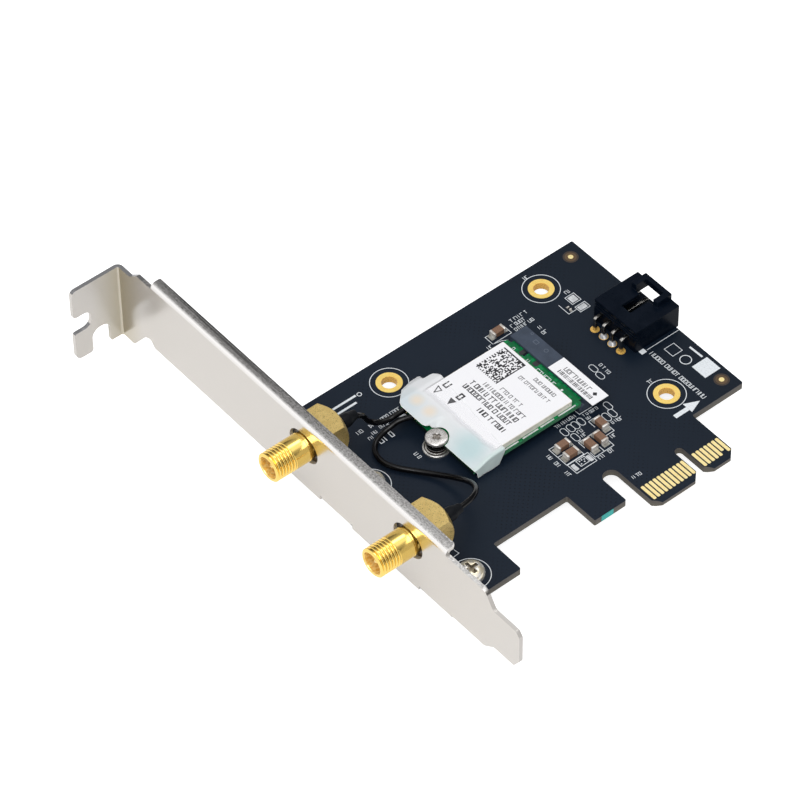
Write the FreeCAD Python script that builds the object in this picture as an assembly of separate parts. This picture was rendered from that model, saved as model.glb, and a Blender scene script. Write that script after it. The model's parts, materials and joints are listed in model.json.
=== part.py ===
import FreeCAD, Part
import math
import os

# A wireless network card with a metal slot bracket, two antenna sockets and a
# small radio module that lies flat in its own socket. Lengths are millimetres.
# X runs from the bracket to the rear of the card, Y from the edge contacts to the
# top of the card, and Z out of the component side. The origin is the middle of the
# key notch, on the tip of the edge connector, on the component side of the board.

# Small gaps between pieces that fit each other
FIT = 0.02
SOCKET_CLEAR = 0.06

# What a round end lacks of a full half circle
ROUND_END_TRIM = 0.01

# Edge connector
KEY_WIDTH = 1.9
KEY_TOP_Y = 8.25
TAB_CHAMFER = 1.5
TAB_BEVEL_LENGTH = 0.9
TAB_BEVEL_DEPTH = 0.35
CONTACT_PITCH = 1.0
CONTACT_WIDTH = 0.7
CONTACT_T = 0.05
CONTACT_TIP_Y = 1.3
CONTACT_TOP_Y = 5.3
SHORT_CONTACT_TIP_Y = 2.1
LONG_SIDE_CONTACTS = 11
SHORT_SIDE_CONTACTS = 7
KEY_SIDE_OFFSET = 1.5
LONG_TAB_MARGIN = 0.85
SHORT_TAB_MARGIN = 0.65
LONG_TAB_LEFT = -KEY_SIDE_OFFSET - CONTACT_PITCH * (LONG_SIDE_CONTACTS - 1) - LONG_TAB_MARGIN
SHORT_TAB_RIGHT = KEY_SIDE_OFFSET + CONTACT_PITCH * (SHORT_SIDE_CONTACTS - 1) + SHORT_TAB_MARGIN

# Slot bracket: sheet, face and top flange
SHEET_T = 0.86
BEND_R = 0.5
BRACKET_FACE_X = -59.05
BRACKET_BACK_X = BRACKET_FACE_X + SHEET_T
BRACKET_TOP_Z = 15.96
FLANGE_BEND_Z = BRACKET_TOP_Z - SHEET_T - BEND_R
PLATE_LOW_Z = -2.2
FLANGE_REACH = 2.45
FLANGE_START_Y = 6.6

# Slot bracket: screw tab, seat to tail, and tongue
SEAT_Y = 105.85
SEAT_TO_TAIL = 120.02
FLANGE_TO_SEAT = 10.55
FLANGE_END_Y = SEAT_Y - FLANGE_TO_SEAT
SHOULDER_TO_SEAT = 6.1
NECK_TO_SEAT = 3.5
LOW_NECK_TO_SEAT = 3.7
LOW_NOTCH_WIDTH = 2.8
LOW_NOTCH_H = 1.6
LOW_NOTCH_RISE = 0.9
TAB_DEPTH = 11.43
TAB_LOW_Z = -6.55
TAB_WIDTH = 19.05
TAB_SLOT_WIDTH = 4.42
TAB_SLOT_DEPTH = 4.18
TAB_SLOT_LOW_Z = 0.75
TAB_NOTCH_OFFSET = 4.13
TAB_NOTCH_WIDTH = 4.45
TAB_NOTCH_H = 5.7
TONGUE_LOW_Z = 0.9
TONGUE_WIDTH = 10.19
TONGUE_LENGTH = 7.37
TONGUE_SHOULDER = 2.3
TONGUE_LOW_SHOULDER = 2.4

# Circuit board
BOARD_T = 1.6
BOARD_GAP = 1.04
BOARD_LEFT = BRACKET_BACK_X + BOARD_GAP
BOARD_REAR = 21.45
BOARD_HEIGHT = 63.0
BOARD_STEP_Y = 12.65
BOARD_CORNER_R = 0.3
BOARD_STEP_R = 0.4
FOOT_Y = 4.65
FOOT_RIGHT = -42.3
HORN_LEFT = -23.9
LATCH_SLOT_WIDTH = 3.6
HORN_RIGHT = LONG_TAB_LEFT - LATCH_SLOT_WIDTH

# Board holes with plated rings, and round alignment dots
HIGH_HOLE_INSET = 6.05
HIGH_HOLE_Y = BOARD_HEIGHT - HIGH_HOLE_INSET
MOUNT_HOLES = ((-31.0, HIGH_HOLE_Y), (8.05, HIGH_HOLE_Y), (8.15, 20.0))
MOUNT_HOLE_R = 1.6
RING_R = 2.65
PLATING_T = 0.05
HIGH_FIDUCIAL_INSET = 3.2
HIGH_FIDUCIAL_Y = BOARD_HEIGHT - HIGH_FIDUCIAL_INSET
FIDUCIALS = ((18.3, HIGH_FIDUCIAL_Y), (18.8, 15.9))
FIDUCIAL_R = 0.55

# Board tabs of the bracket and their screws
SCREW_X = -50.35
SCREW_YS = (38.9, 9.65)
BOARD_TAB_WIDTH = 8.8
BOARD_TAB_BEYOND = 3.6
RELIEF_WIDTH = 0.4
SCREW_THREAD_R = 1.45
SCREW_CLEARANCE = 0.2
THREAD_CLEARANCE = 0.05
SCREW_HEAD_R = 2.7
SCREW_HEAD_H = 1.9
SCREW_LENGTH = 4.0
SCREW_TIP_CHAMFER = 0.3
RECESS_ARM = 0.38
SCREW_RECESS_REACH = 1.5
SCREW_RECESS_DEPTH = 0.9

# Antenna sockets
JACK_Z = 9.1
JACK_YS = (48.3, 17.5)
JACK_REACH = 8.7
JACK_FRONT_X = BRACKET_FACE_X - JACK_REACH
JACK_THREAD_R = 3.1
JACK_THREAD_DEPTH = 0.28
JACK_NECK_R = 2.95
JACK_NECK_GAP = 0.15
JACK_BORE_R = 2.3
JACK_BODY_WIDTH = 8.0
JACK_BODY_LENGTH = 7.15
JACK_CORNER_CUT = 0.7
JACK_REAR_FACE_INSET = 0.15
JACK_HOLE_HALF_LENGTH = 4.2
JACK_HOLE_CLEARANCE = 0.25
INSULATOR_DEPTH = 3.55
JACK_PIN_R = 0.45
JACK_PIN_TIP_R = 0.2
JACK_PIN_DEPTH = 0.75
FERRULE_R = 1.15
FERRULE_LENGTH = 2.8
SLEEVE_R = 1.5
SLEEVE_LENGTH = 4.75

# Antenna cables
CABLE_R = 0.565
CABLE_CLEARANCE = 0.05
CABLE_BORE_R = CABLE_R + CABLE_CLEARANCE
CABLE_INSIDE = 4.9
CABLE_START_X = BRACKET_BACK_X - CABLE_INSIDE

# Radio module
MODULE_Y = 38.0
MODULE_WIDTH = 22.0
MODULE_LEFT = -34.9
MODULE_LOW_Z = 1.8
MODULE_T = 0.8
MODULE_TOP_Z = MODULE_LOW_Z + MODULE_T
MODULE_NOTCH_R = 1.75
MODULE_CORNER_R = 0.3
SOCKET_LEFT = -6.9
MODULE_SHOULDER_GAP = 0.7
MODULE_RIGHT = SOCKET_LEFT - MODULE_SHOULDER_GAP
CARD_EDGE_SHOULDER = 1.075
CARD_EDGE_WIDTH = MODULE_WIDTH - 2 * CARD_EDGE_SHOULDER
CARD_EDGE_DEPTH = 2.0
CARD_EDGE_X = SOCKET_LEFT + CARD_EDGE_DEPTH
MODULE_KEY_OFFSET = 6.1
MODULE_KEY_WIDTH = 1.2
MODULE_KEY_DEPTH = 3.2
MODULE_CONTACT_PITCH = 0.5
MODULE_CONTACT_WIDTH = 0.35
MODULE_CONTACT_LENGTH = 1.7
MODULE_CONTACT_INSET = 0.2
MODULE_CONTACT_T = 0.03
MODULE_CONTACTS = 36

# Shield can of the module and its label
SHIELD_FROM_LEFT = 4.95
SHIELD_FROM_RIGHT = 1.8
SHIELD_LOW_MARGIN = 0.7
SHIELD_HIGH_MARGIN = 0.8
SHIELD_H = 1.3
SHIELD_T = 0.2
SHIELD_CORNER_R = 0.35
SHIELD_LEFT = MODULE_LEFT + SHIELD_FROM_LEFT
SHIELD_RIGHT = MODULE_RIGHT - SHIELD_FROM_RIGHT
SHIELD_LOW_Y = MODULE_Y - MODULE_WIDTH / 2 + SHIELD_LOW_MARGIN
SHIELD_HIGH_Y = MODULE_Y + MODULE_WIDTH / 2 - SHIELD_HIGH_MARGIN
LABEL_T = 0.08
LABEL_MARGIN = 0.12

# Module socket
SOCKET_WIDTH = MODULE_WIDTH
SOCKET_DEPTH = 4.9
SOCKET_RIGHT = SOCKET_LEFT + SOCKET_DEPTH
SOCKET_LIP = 1.2
SOCKET_LIP_CHAMFER = 0.4
SOCKET_H = 3.25
SOCKET_REAR_CHAMFER = 0.8
SOCKET_REAR_CHAMFER_H = 1.4
SOCKET_KEY_INSET = 0.8
SOCKET_TAIL_WIDTH = 0.22
SOCKET_TAIL_LENGTH = 0.9
SOCKET_TAIL_GRIP = 0.6
SOCKET_TAIL_T = 0.15
SOCKET_FOOT = 1.2
SOCKET_LABEL_OVERHANG = 2.3
SOCKET_LABEL_LENGTH = 13.1

# Module screw and standoff
STANDOFF_R = 2.0
STANDOFF_FLANGE_R = 2.8
STANDOFF_FLANGE_H = 0.45
STANDOFF_FLANGE_CHAMFER = 0.1
STANDOFF_BORE_CLEARANCE = 0.05
MODULE_SCREW_SHANK_R = 0.95
MODULE_SCREW_HEAD_R = 2.25
MODULE_SCREW_HEAD_H = 0.65
MODULE_SCREW_LENGTH = 2.0
MODULE_SCREW_CHAMFER = 0.15
MODULE_RECESS_REACH = 0.9
MODULE_RECESS_DEPTH = 0.35

# Antenna plugs and the receptacles they sit on
PLUG_FROM_LEFT = 2.9
PLUG_X = MODULE_LEFT + PLUG_FROM_LEFT
PLUG_FROM_EDGE = 1.8
PLUG_PITCH = 3.8
PLUG_1_Y = MODULE_Y + MODULE_WIDTH / 2 - PLUG_FROM_EDGE
PLUG_YS = (PLUG_1_Y, PLUG_1_Y - PLUG_PITCH)
PLUG_R = 1.3
PLUG_WALL = 0.28
PLUG_H = 1.0
PLUG_BARREL_R = 0.66
PLUG_LENGTH = 3.2
PLUG_TURNS = (0, 25)
RECEPTACLE_SIZE = 2.0
RECEPTACLE_BASE_H = 0.35
RECEPTACLE_RING_H = 0.5
PLUG_LOW_Z = MODULE_TOP_Z + RECEPTACLE_BASE_H
PLUG_AXIS_Z = MODULE_TOP_Z + 0.7

# Tape over the antenna plugs
TAPE_T = 0.12
TAPE_LEFT_OVERHANG = 0.6
TAPE_OVER_SHIELD_LOW = 2.35
TAPE_OVER_SHIELD_HIGH = 5.35
TAPE_SIDE_GAP = 0.15
TAPE_SKIRT_LOW_Z = 0.4
TAPE_SKIRT_LEFT_INSET = 0.9
TAPE_SKIRT_RIGHT_INSET = 0.6
TAPE_FLAP_LENGTH = 2.3
TAPE_FLAP_DROP = 1.38
TAPE_FLAP_LEFT_INSET = 2.6
TAPE_FLAP_RIGHT_INSET = 0.6
TAPE_SCREW_MARGIN = 0.2

# Four pin header
HEADER_OVERHANG = 0.55
HEADER_FRONT_X = BOARD_REAR + HEADER_OVERHANG
HEADER_LENGTH = 11.4
HEADER_REAR_X = HEADER_FRONT_X - HEADER_LENGTH
HEADER_Y = 38.0
HEADER_WIDTH = 12.2
HEADER_H = 5.8
HEADER_WALL = 1.0
HEADER_TOP_WALL = 0.9
HEADER_BACK_WALL = 3.0
ARCH_H = 1.5
ARCH_LENGTH = 3.8
ARCH_HALF_WIDTH = 3.8
ARCH_BAR = 1.1
ARCH_CHEEK = 1.3
SLOT_HALF_WIDTH = 1.3
SLOT_INSET = 2.8
GROOVE_SIZE = 0.4
GROOVE_DEPTHS = (0.9, 1.7)
PIN_SIZE = 0.64
PIN_PITCH = 2.54
PIN_COUNT = 4
PIN_Z = 3.1
PIN_TIP_INSET = 1.6
PIN_BEND_GAP = 1.7
PIN_BEND_R = 0.7
PIN_TAIL = 1.1
PIN_HOLE_R = 0.5
PAD_R = 0.95
SOLDER_R = 0.85
SOLDER_WAIST_R = 0.65
SOLDER_TOP_R = 0.5
SOLDER_H = 0.7

# Ceramic capacitors and one small resistor
CAPACITOR_LENGTH = 3.0
CAPACITOR_WIDTH = 1.6
CAPACITOR_H = 1.2
CAPACITOR_END = 0.47
CAPACITOR_PAD_MARGIN = 0.6
CAPACITORS_ALONG_X = ((-16.4, 22.5), (-16.5, 19.95), (-6.42, 53.27))
CAPACITORS_ALONG_Y = ((-6.95, 22.05), (-9.55, 19.35), (-12.2, 19.25))
RESISTOR_AT = (8.6, 49.15)
RESISTOR_LENGTH = 1.0
RESISTOR_WIDTH = 0.5
RESISTOR_H = 0.35
RESISTOR_END = 0.25
CHIP_BODY_INSET = 0.03
RESISTOR_PAD_MARGIN = 0.3


def plug_point(number, reach):
    """A point on a plug's axis, that far out from its middle towards its cable."""
    turn = math.radians(PLUG_TURNS[number])
    return (PLUG_X - reach * math.cos(turn), PLUG_YS[number] + reach * math.sin(turn), PLUG_AXIS_Z)


# Cable routes: ends of straight runs, which arcs join
CABLE_1_ROUTE = (
    (CABLE_START_X, JACK_YS[0], JACK_Z),
    (-56.5, JACK_YS[0], JACK_Z),
    (-50.4, 48.31, 9.1),
    (-47.4, 48.3, 9.04),
    (-45.6, 48.3, 8.3),
    (-44.3, 48.4, 6.9),
    (-43.5, 48.5, 5.2),
    (-42.35, 48.4, 3.75),
    (-40.8, 48.05, 2.9),
    (-39.0, 47.6, 2.75),
    plug_point(0, PLUG_LENGTH + 2.0),
    plug_point(0, PLUG_LENGTH),
)
CABLE_2_ROUTE = (
    (CABLE_START_X, JACK_YS[1], JACK_Z),
    (-57.2, JACK_YS[1], JACK_Z),
    (-51.3, 17.51, 9.1),
    (-46.0, 17.53, 9.04),
    (-42.6, 18.2, 8.6),
    (-39.9, 20.2, 7.3),
    (-38.3, 23.6, 5.0),
    (-38.2, 27.4, 2.8),
    (-39.5, 31.4, 1.2),
    (-42.0, 35.2, 0.8),
    (-44.4, 38.3, 0.75),
    (-45.6, 41.0, 0.75),
    (-45.4, 43.7, 0.8),
    (-44.0, 45.7, 0.9),
    (-41.8, 46.6, 1.2),
    (-39.4, 46.5, 2.0),
    plug_point(1, PLUG_LENGTH + 2.5),
    plug_point(1, PLUG_LENGTH),
)

PARTS = {}


def v(x, y, z):
    return FreeCAD.Vector(x, y, z)


def box(x0, x1, y0, y1, z0, z1):
    return Part.makeBox(x1 - x0, y1 - y0, z1 - z0, v(x0, y0, z0))


def rod(radius, start, end):
    along = v(*end).sub(v(*start))
    return Part.makeCylinder(radius, along.Length, v(*start), along)


def rounded_wire(corners, place):
    """A closed wire through corners (a, b, radius), each rounded where its radius isn't 0."""
    flat = [v(a, b, 0) for a, b, _ in corners]
    after = flat[1:] + flat[:1]
    ends = []
    for i, (_, _, radius) in enumerate(corners):
        here, back, on = flat[i], flat[i - 1].sub(flat[i]), after[i].sub(flat[i])
        if not radius:
            ends.append((here, None, here))
            continue
        half = back.getAngle(on) / 2
        back.normalize()
        on.normalize()
        reach = radius / math.tan(half)
        bulge = back.add(on).normalize().multiply(radius / math.sin(half) - radius)
        ends.append((here.add(back.multiply(reach)), here.add(bulge), here.add(on.multiply(reach))))
    edges = []
    for (first, middle, last), (following, _, _) in zip(ends, ends[1:] + ends[:1]):
        if middle is not None:
            edges.append(Part.Arc(place(first), place(middle), place(last)).toShape())
        if last.distanceToPoint(following) > 1e-6:
            edges.append(Part.LineSegment(place(last), place(following)).toShape())
    return Part.Wire(edges)


def plate(corners, place, thickness):
    return Part.Face(rounded_wire(corners, place)).extrude(thickness)


def on_xy(z):
    return lambda p: v(p.x, p.y, z)


def on_yz(x):
    return lambda p: v(x, p.x, p.y)


def on_xz(y):
    return lambda p: v(p.x, y, p.y)


def turned(profile, axis_y):
    """A solid turned about an antenna socket's axis, from (x, radius) points."""
    points = [v(x, axis_y, JACK_Z + r) for x, r in profile]
    face = Part.Face(Part.makePolygon(points + points[:1]))
    return face.revolve(v(0, axis_y, JACK_Z), v(1, 0, 0), 360)


def spun(profile, x, y):
    """A solid turned about an upright axis, from (radius, z) points."""
    points = [v(x + r, y, z) for r, z in profile]
    face = Part.Face(Part.makePolygon(points + points[:1]))
    return face.revolve(v(x, y, 0), v(0, 0, 1), 360)


def route_wire(points):
    """Straight runs joined by arcs that touch them, and the radii of the arcs."""
    spots = [v(*p) for p in points]
    edges, radii = [], []
    last = spots[0]
    for before, here, after in zip(spots, spots[1:], spots[2:]):
        back, on = before.sub(here), after.sub(here)
        turn = math.pi - back.getAngle(on)
        reach = 0.45 * min(back.Length, on.Length)
        radius = reach / math.tan(turn / 2)
        radii.append(round(radius, 2))
        back.normalize()
        on.normalize()
        bulge = back.add(on).normalize().multiply(radius / math.cos(turn / 2) - radius)
        first = here.add(back.multiply(reach))
        edges.append(Part.LineSegment(last, first).toShape())
        last = here.add(on.multiply(reach))
        edges.append(Part.Arc(first, here.add(bulge), last).toShape())
    edges.append(Part.LineSegment(last, spots[-1]).toShape())
    return Part.Wire(edges), radii


def tube(points, radius):
    wire, radii = route_wire(points)
    start = v(*points[0])
    circle = Part.Wire(Part.makeCircle(radius, start, v(*points[1]).sub(start)))
    solid = wire.makePipeShell([circle], True, False)
    expected = math.pi * radius**2 * wire.Length
    print("cable %.2f long, volume %.3f of %.3f" % (wire.Length, solid.Volume, expected))
    print("radii", radii)
    return solid


def long_side_xs():
    return [-KEY_SIDE_OFFSET - CONTACT_PITCH * i for i in range(LONG_SIDE_CONTACTS)]


def short_side_xs():
    return [KEY_SIDE_OFFSET + CONTACT_PITCH * i for i in range(SHORT_SIDE_CONTACTS)]


def pin_ys():
    return [HEADER_Y + PIN_PITCH * (i - (PIN_COUNT - 1) / 2) for i in range(PIN_COUNT)]


def module_contact_ys():
    middle = (MODULE_CONTACTS - 1) / 2
    return [MODULE_Y + MODULE_CONTACT_PITCH * (i - middle) for i in range(MODULE_CONTACTS)]


def board():
    key = KEY_WIDTH / 2
    key_r = key - ROUND_END_TRIM
    slot_r = LATCH_SLOT_WIDTH / 2 - ROUND_END_TRIM
    pin_x = HEADER_REAR_X - PIN_BEND_GAP
    corners = [
        (BOARD_LEFT, FOOT_Y, 0),
        (FOOT_RIGHT, FOOT_Y, BOARD_CORNER_R),
        (FOOT_RIGHT, BOARD_STEP_Y, BOARD_STEP_R),
        (HORN_LEFT, BOARD_STEP_Y, BOARD_STEP_R),
        (HORN_LEFT, FOOT_Y, BOARD_CORNER_R),
        (HORN_RIGHT, FOOT_Y, BOARD_CORNER_R),
        (HORN_RIGHT, BOARD_STEP_Y, slot_r),
        (LONG_TAB_LEFT, BOARD_STEP_Y, slot_r),
        (LONG_TAB_LEFT, TAB_CHAMFER, 0),
        (LONG_TAB_LEFT + TAB_CHAMFER, 0, 0),
        (-key - TAB_CHAMFER, 0, 0),
        (-key, TAB_CHAMFER, 0),
        (-key, KEY_TOP_Y, key_r),
        (key, KEY_TOP_Y, key_r),
        (key, TAB_CHAMFER, 0),
        (key + TAB_CHAMFER, 0, 0),
        (SHORT_TAB_RIGHT - TAB_CHAMFER, 0, 0),
        (SHORT_TAB_RIGHT, TAB_CHAMFER, 0),
        (SHORT_TAB_RIGHT, BOARD_STEP_Y, BOARD_STEP_R),
        (BOARD_REAR, BOARD_STEP_Y, BOARD_CORNER_R),
        (BOARD_REAR, BOARD_HEIGHT, BOARD_CORNER_R),
        (BOARD_LEFT, BOARD_HEIGHT, BOARD_CORNER_R),
    ]
    solid = plate(corners, on_xy(-BOARD_T), v(0, 0, BOARD_T))
    for face_z, inward in ((0, -1), (-BOARD_T, 1)):
        wedge = plate(
            [
                (0, face_z, 0),
                (0, face_z + inward * TAB_BEVEL_DEPTH, 0),
                (TAB_BEVEL_LENGTH, face_z, 0),
            ],
            on_yz(LONG_TAB_LEFT),
            v(SHORT_TAB_RIGHT - LONG_TAB_LEFT, 0, 0),
        )
        solid = solid.cut(wedge)
    holes = [(x, y, MOUNT_HOLE_R) for x, y in MOUNT_HOLES]
    holes += [(SCREW_X, y, SCREW_THREAD_R + SCREW_CLEARANCE) for y in SCREW_YS]
    holes += [(pin_x, y, PIN_HOLE_R) for y in pin_ys()]
    for x, y, radius in holes:
        solid = solid.cut(rod(radius, (x, y, -BOARD_T), (x, y, 0)))
    PARTS["circuit_board"] = solid


def edge_contacts():
    short = short_side_xs()[-2]
    half = CONTACT_WIDTH / 2
    for name, z0 in (("edge_contacts_top", 0), ("edge_contacts_bottom", -BOARD_T - CONTACT_T)):
        fingers = []
        for x in long_side_xs() + short_side_xs():
            tip = SHORT_CONTACT_TIP_Y if x == short else CONTACT_TIP_Y
            fingers.append(box(x - half, x + half, tip, CONTACT_TOP_Y, z0, z0 + CONTACT_T))
        PARTS[name] = Part.Compound(fingers)


def hole_rings():
    rings = []
    for x, y in MOUNT_HOLES:
        for z0, z1 in ((0, PLATING_T), (-BOARD_T - PLATING_T, -BOARD_T)):
            disc = rod(RING_R, (x, y, z0), (x, y, z1))
            rings.append(disc.cut(rod(MOUNT_HOLE_R, (x, y, z0), (x, y, z1))))
    PARTS["hole_rings"] = Part.Compound(rings)
    dots = [rod(FIDUCIAL_R, (x, y, 0), (x, y, PLATING_T)) for x, y in FIDUCIALS]
    PARTS["fiducial_dots"] = Part.Compound(dots)


def fold(centre_a, centre_b, sign_a, sign_b, place, along):
    """The quarter ring of a bend, seen end on, about (centre_a, centre_b)."""
    inner, outer = BEND_R, BEND_R + SHEET_T
    lean = math.sqrt(0.5)

    def at(radius, a, b):
        return place(v(centre_a + sign_a * radius * a, centre_b + sign_b * radius * b, 0))

    edges = [
        Part.Arc(at(inner, 1, 0), at(inner, lean, lean), at(inner, 0, 1)).toShape(),
        Part.LineSegment(at(inner, 0, 1), at(outer, 0, 1)).toShape(),
        Part.Arc(at(outer, 0, 1), at(outer, lean, lean), at(outer, 1, 0)).toShape(),
        Part.LineSegment(at(outer, 1, 0), at(inner, 1, 0)).toShape(),
    ]
    return Part.Face(Part.Wire(edges)).extrude(along)


def face_low_edge():
    """Lower edge of the face from tail to neck, with a relief beside each board tab."""
    half = BOARD_TAB_WIDTH / 2 + RELIEF_WIDTH
    bend_z = BEND_R - BOARD_T
    first, second = sorted(SCREW_YS)
    return [
        (first + half, bend_z, 0),
        (first + half, PLATE_LOW_Z, 0),
        (second - half, PLATE_LOW_Z, 0),
        (second - half, bend_z, 0),
        (second + half, bend_z, 0),
        (second + half, PLATE_LOW_Z, 0),
    ]


def bracket_face():
    """The long face with its neck, shoulders, tongue and the two antenna holes."""
    tab_top = TAB_LOW_Z + TAB_WIDTH
    neck_y = SEAT_Y - BEND_R
    tail_y = SEAT_Y - SEAT_TO_TAIL
    root_y = tail_y + TONGUE_LENGTH
    tongue_top = TONGUE_LOW_Z + TONGUE_WIDTH
    bend_z = BEND_R - BOARD_T
    corners = [
        (neck_y, tab_top, 0),
        (SEAT_Y - NECK_TO_SEAT, tab_top, 0.8),
        (SEAT_Y - SHOULDER_TO_SEAT, FLANGE_BEND_Z, 0.8),
        (root_y + TONGUE_SHOULDER, FLANGE_BEND_Z, 1.6),
        (root_y, tongue_top, 1.0),
        (tail_y + 1.0, tongue_top, 0.5),
        (tail_y, tongue_top - 1.2, 0.5),
        (tail_y, TONGUE_LOW_Z + 2.3, 0.5),
        (tail_y + 1.5, TONGUE_LOW_Z, 0.5),
        (root_y - 0.3, TONGUE_LOW_Z, 1.0),
        (root_y + TONGUE_LOW_SHOULDER, bend_z, 1.2),
    ]
    corners += face_low_edge()
    corners += [
        (FLANGE_END_Y, PLATE_LOW_Z, 0.6),
        (FLANGE_END_Y + LOW_NOTCH_WIDTH * 0.4, PLATE_LOW_Z + LOW_NOTCH_H, 0.6),
        (FLANGE_END_Y + LOW_NOTCH_WIDTH, PLATE_LOW_Z + LOW_NOTCH_RISE, 0.5),
        (SEAT_Y - LOW_NECK_TO_SEAT, TAB_LOW_Z, 0.8),
        (neck_y, TAB_LOW_Z, 0),
    ]
    sheet = v(SHEET_T, 0, 0)
    face = plate(corners, on_yz(BRACKET_FACE_X), sheet)
    long = JACK_HOLE_HALF_LENGTH
    high = JACK_THREAD_R + JACK_HOLE_CLEARANCE
    end_r = high - 0.01
    for y in JACK_YS:
        hole = [
            (y - long, JACK_Z - high, end_r),
            (y + long, JACK_Z - high, end_r),
            (y + long, JACK_Z + high, end_r),
            (y - long, JACK_Z + high, end_r),
        ]
        face = face.cut(plate(hole, on_yz(BRACKET_FACE_X), sheet))
    return face


def bracket_flange():
    """The stiffening strip folded back along the top edge of the face."""
    centre_x = BRACKET_BACK_X + BEND_R
    out_x = BRACKET_FACE_X + FLANGE_REACH
    along = v(0, FLANGE_END_Y - FLANGE_START_Y, 0)
    strip = plate(
        [
            (centre_x, FLANGE_START_Y, 0),
            (out_x, FLANGE_START_Y, 0.7),
            (out_x, FLANGE_END_Y, 0.4),
            (centre_x, FLANGE_END_Y, 0),
        ],
        on_xy(BRACKET_TOP_Z - SHEET_T),
        v(0, 0, SHEET_T),
    )
    return [fold(centre_x, FLANGE_BEND_Z, -1, 1, on_xz(FLANGE_START_Y), along), strip]


def bracket_screw_tab():
    """The tab that is folded forward at the top and takes the chassis screw."""
    tab_top = TAB_LOW_Z + TAB_WIDTH
    centre_x = BRACKET_FACE_X - BEND_R
    tip = BRACKET_FACE_X - TAB_DEPTH
    slot_high = TAB_SLOT_LOW_Z + TAB_SLOT_WIDTH
    slot_end = tip + TAB_SLOT_DEPTH
    notch_left = tip + TAB_NOTCH_OFFSET
    notch_right = notch_left + TAB_NOTCH_WIDTH
    notch_top = TAB_LOW_Z + TAB_NOTCH_H
    corners = [
        (centre_x, tab_top, 0),
        (tip, tab_top, 1.2),
        (tip, slot_high, 0.8),
        (slot_end, slot_high, 1.7),
        (slot_end, TAB_SLOT_LOW_Z, 1.7),
        (tip, TAB_SLOT_LOW_Z, 0.6),
        (tip, TAB_LOW_Z, 1.6),
        (notch_left, TAB_LOW_Z, 0.8),
        (notch_left, notch_top, 2.1),
        (notch_right, notch_top, 2.1),
        (notch_right, TAB_LOW_Z, 0.3),
        (centre_x, TAB_LOW_Z, 0),
    ]
    bend = fold(centre_x, SEAT_Y - BEND_R, 1, 1, on_xy(TAB_LOW_Z), v(0, 0, TAB_WIDTH))
    return [bend, plate(corners, on_xz(SEAT_Y), v(0, SHEET_T, 0))]


def bracket_board_tabs():
    """The two tabs that are folded under the board and hold its screws."""
    centre_x = BRACKET_BACK_X + BEND_R
    end_x = SCREW_X + BOARD_TAB_BEYOND
    low = -BOARD_T - SHEET_T
    pieces = []
    for y in SCREW_YS:
        start = y - BOARD_TAB_WIDTH / 2
        end = y + BOARD_TAB_WIDTH / 2
        along = v(0, BOARD_TAB_WIDTH, 0)
        pieces.append(fold(centre_x, BEND_R - BOARD_T, -1, -1, on_xz(start), along))
        corners = [(centre_x, start, 0), (end_x, start, 1.5), (end_x, end, 1.5), (centre_x, end, 0)]
        tab = plate(corners, on_xy(low), v(0, 0, SHEET_T))
        tapped = rod(SCREW_THREAD_R + THREAD_CLEARANCE, (SCREW_X, y, low), (SCREW_X, y, -BOARD_T))
        pieces.append(tab.cut(tapped))
    return pieces


def bracket():
    folded = bracket_flange() + bracket_screw_tab() + bracket_board_tabs()
    PARTS["bracket"] = bracket_face().fuse(folded).removeSplitter()


def cross_recess(x, y, z, reach, depth):
    arm = RECESS_ARM
    one = box(x - reach, x + reach, y - arm, y + arm, z - depth, z)
    other = box(x - arm, x + arm, y - reach, y + reach, z - depth, z)
    return one.fuse(other)


def bracket_screws():
    head, tip = SCREW_HEAD_R, SCREW_THREAD_R - SCREW_TIP_CHAMFER
    profile = [
        (0, -SCREW_LENGTH),
        (tip, -SCREW_LENGTH),
        (SCREW_THREAD_R, -SCREW_LENGTH + SCREW_TIP_CHAMFER),
        (SCREW_THREAD_R, 0),
        (head, 0),
        (head, SCREW_HEAD_H * 0.45),
        (head * 0.88, SCREW_HEAD_H * 0.78),
        (head * 0.6, SCREW_HEAD_H),
        (0, SCREW_HEAD_H),
    ]
    screws = []
    for y in SCREW_YS:
        recess = cross_recess(SCREW_X, y, SCREW_HEAD_H, SCREW_RECESS_REACH, SCREW_RECESS_DEPTH)
        screws.append(spun(profile, SCREW_X, y).cut(recess))
    PARTS["bracket_screws"] = Part.Compound(screws)


def jack_barrel(y):
    """Barrel at its thread's full size, with a neck in the bracket, bored for the antenna's plug."""
    neck = BRACKET_FACE_X - JACK_NECK_GAP
    profile = [
        (JACK_FRONT_X, JACK_BORE_R),
        (JACK_FRONT_X, JACK_THREAD_R - JACK_THREAD_DEPTH),
        (JACK_FRONT_X + JACK_THREAD_DEPTH, JACK_THREAD_R),
        (neck, JACK_THREAD_R),
        (neck, JACK_NECK_R),
        (BRACKET_BACK_X, JACK_NECK_R),
        (BRACKET_BACK_X, JACK_BORE_R),
    ]
    return turned(profile, y)


def jack_body(y):
    """Square body that bears on the back of the bracket, with its rear corners turned off."""
    half = JACK_BODY_WIDTH / 2
    corner = half * math.sqrt(2)
    rear = BRACKET_BACK_X + JACK_BODY_LENGTH
    block = box(BRACKET_BACK_X, rear, y - half, y + half, JACK_Z - half, JACK_Z + half)
    turning = [
        (BRACKET_BACK_X, 0),
        (BRACKET_BACK_X, corner + 0.1),
        (rear - JACK_CORNER_CUT, corner + 0.1),
        (rear, half - JACK_REAR_FACE_INSET),
        (rear, 0),
    ]
    return block.common(turned(turning, y))


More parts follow.
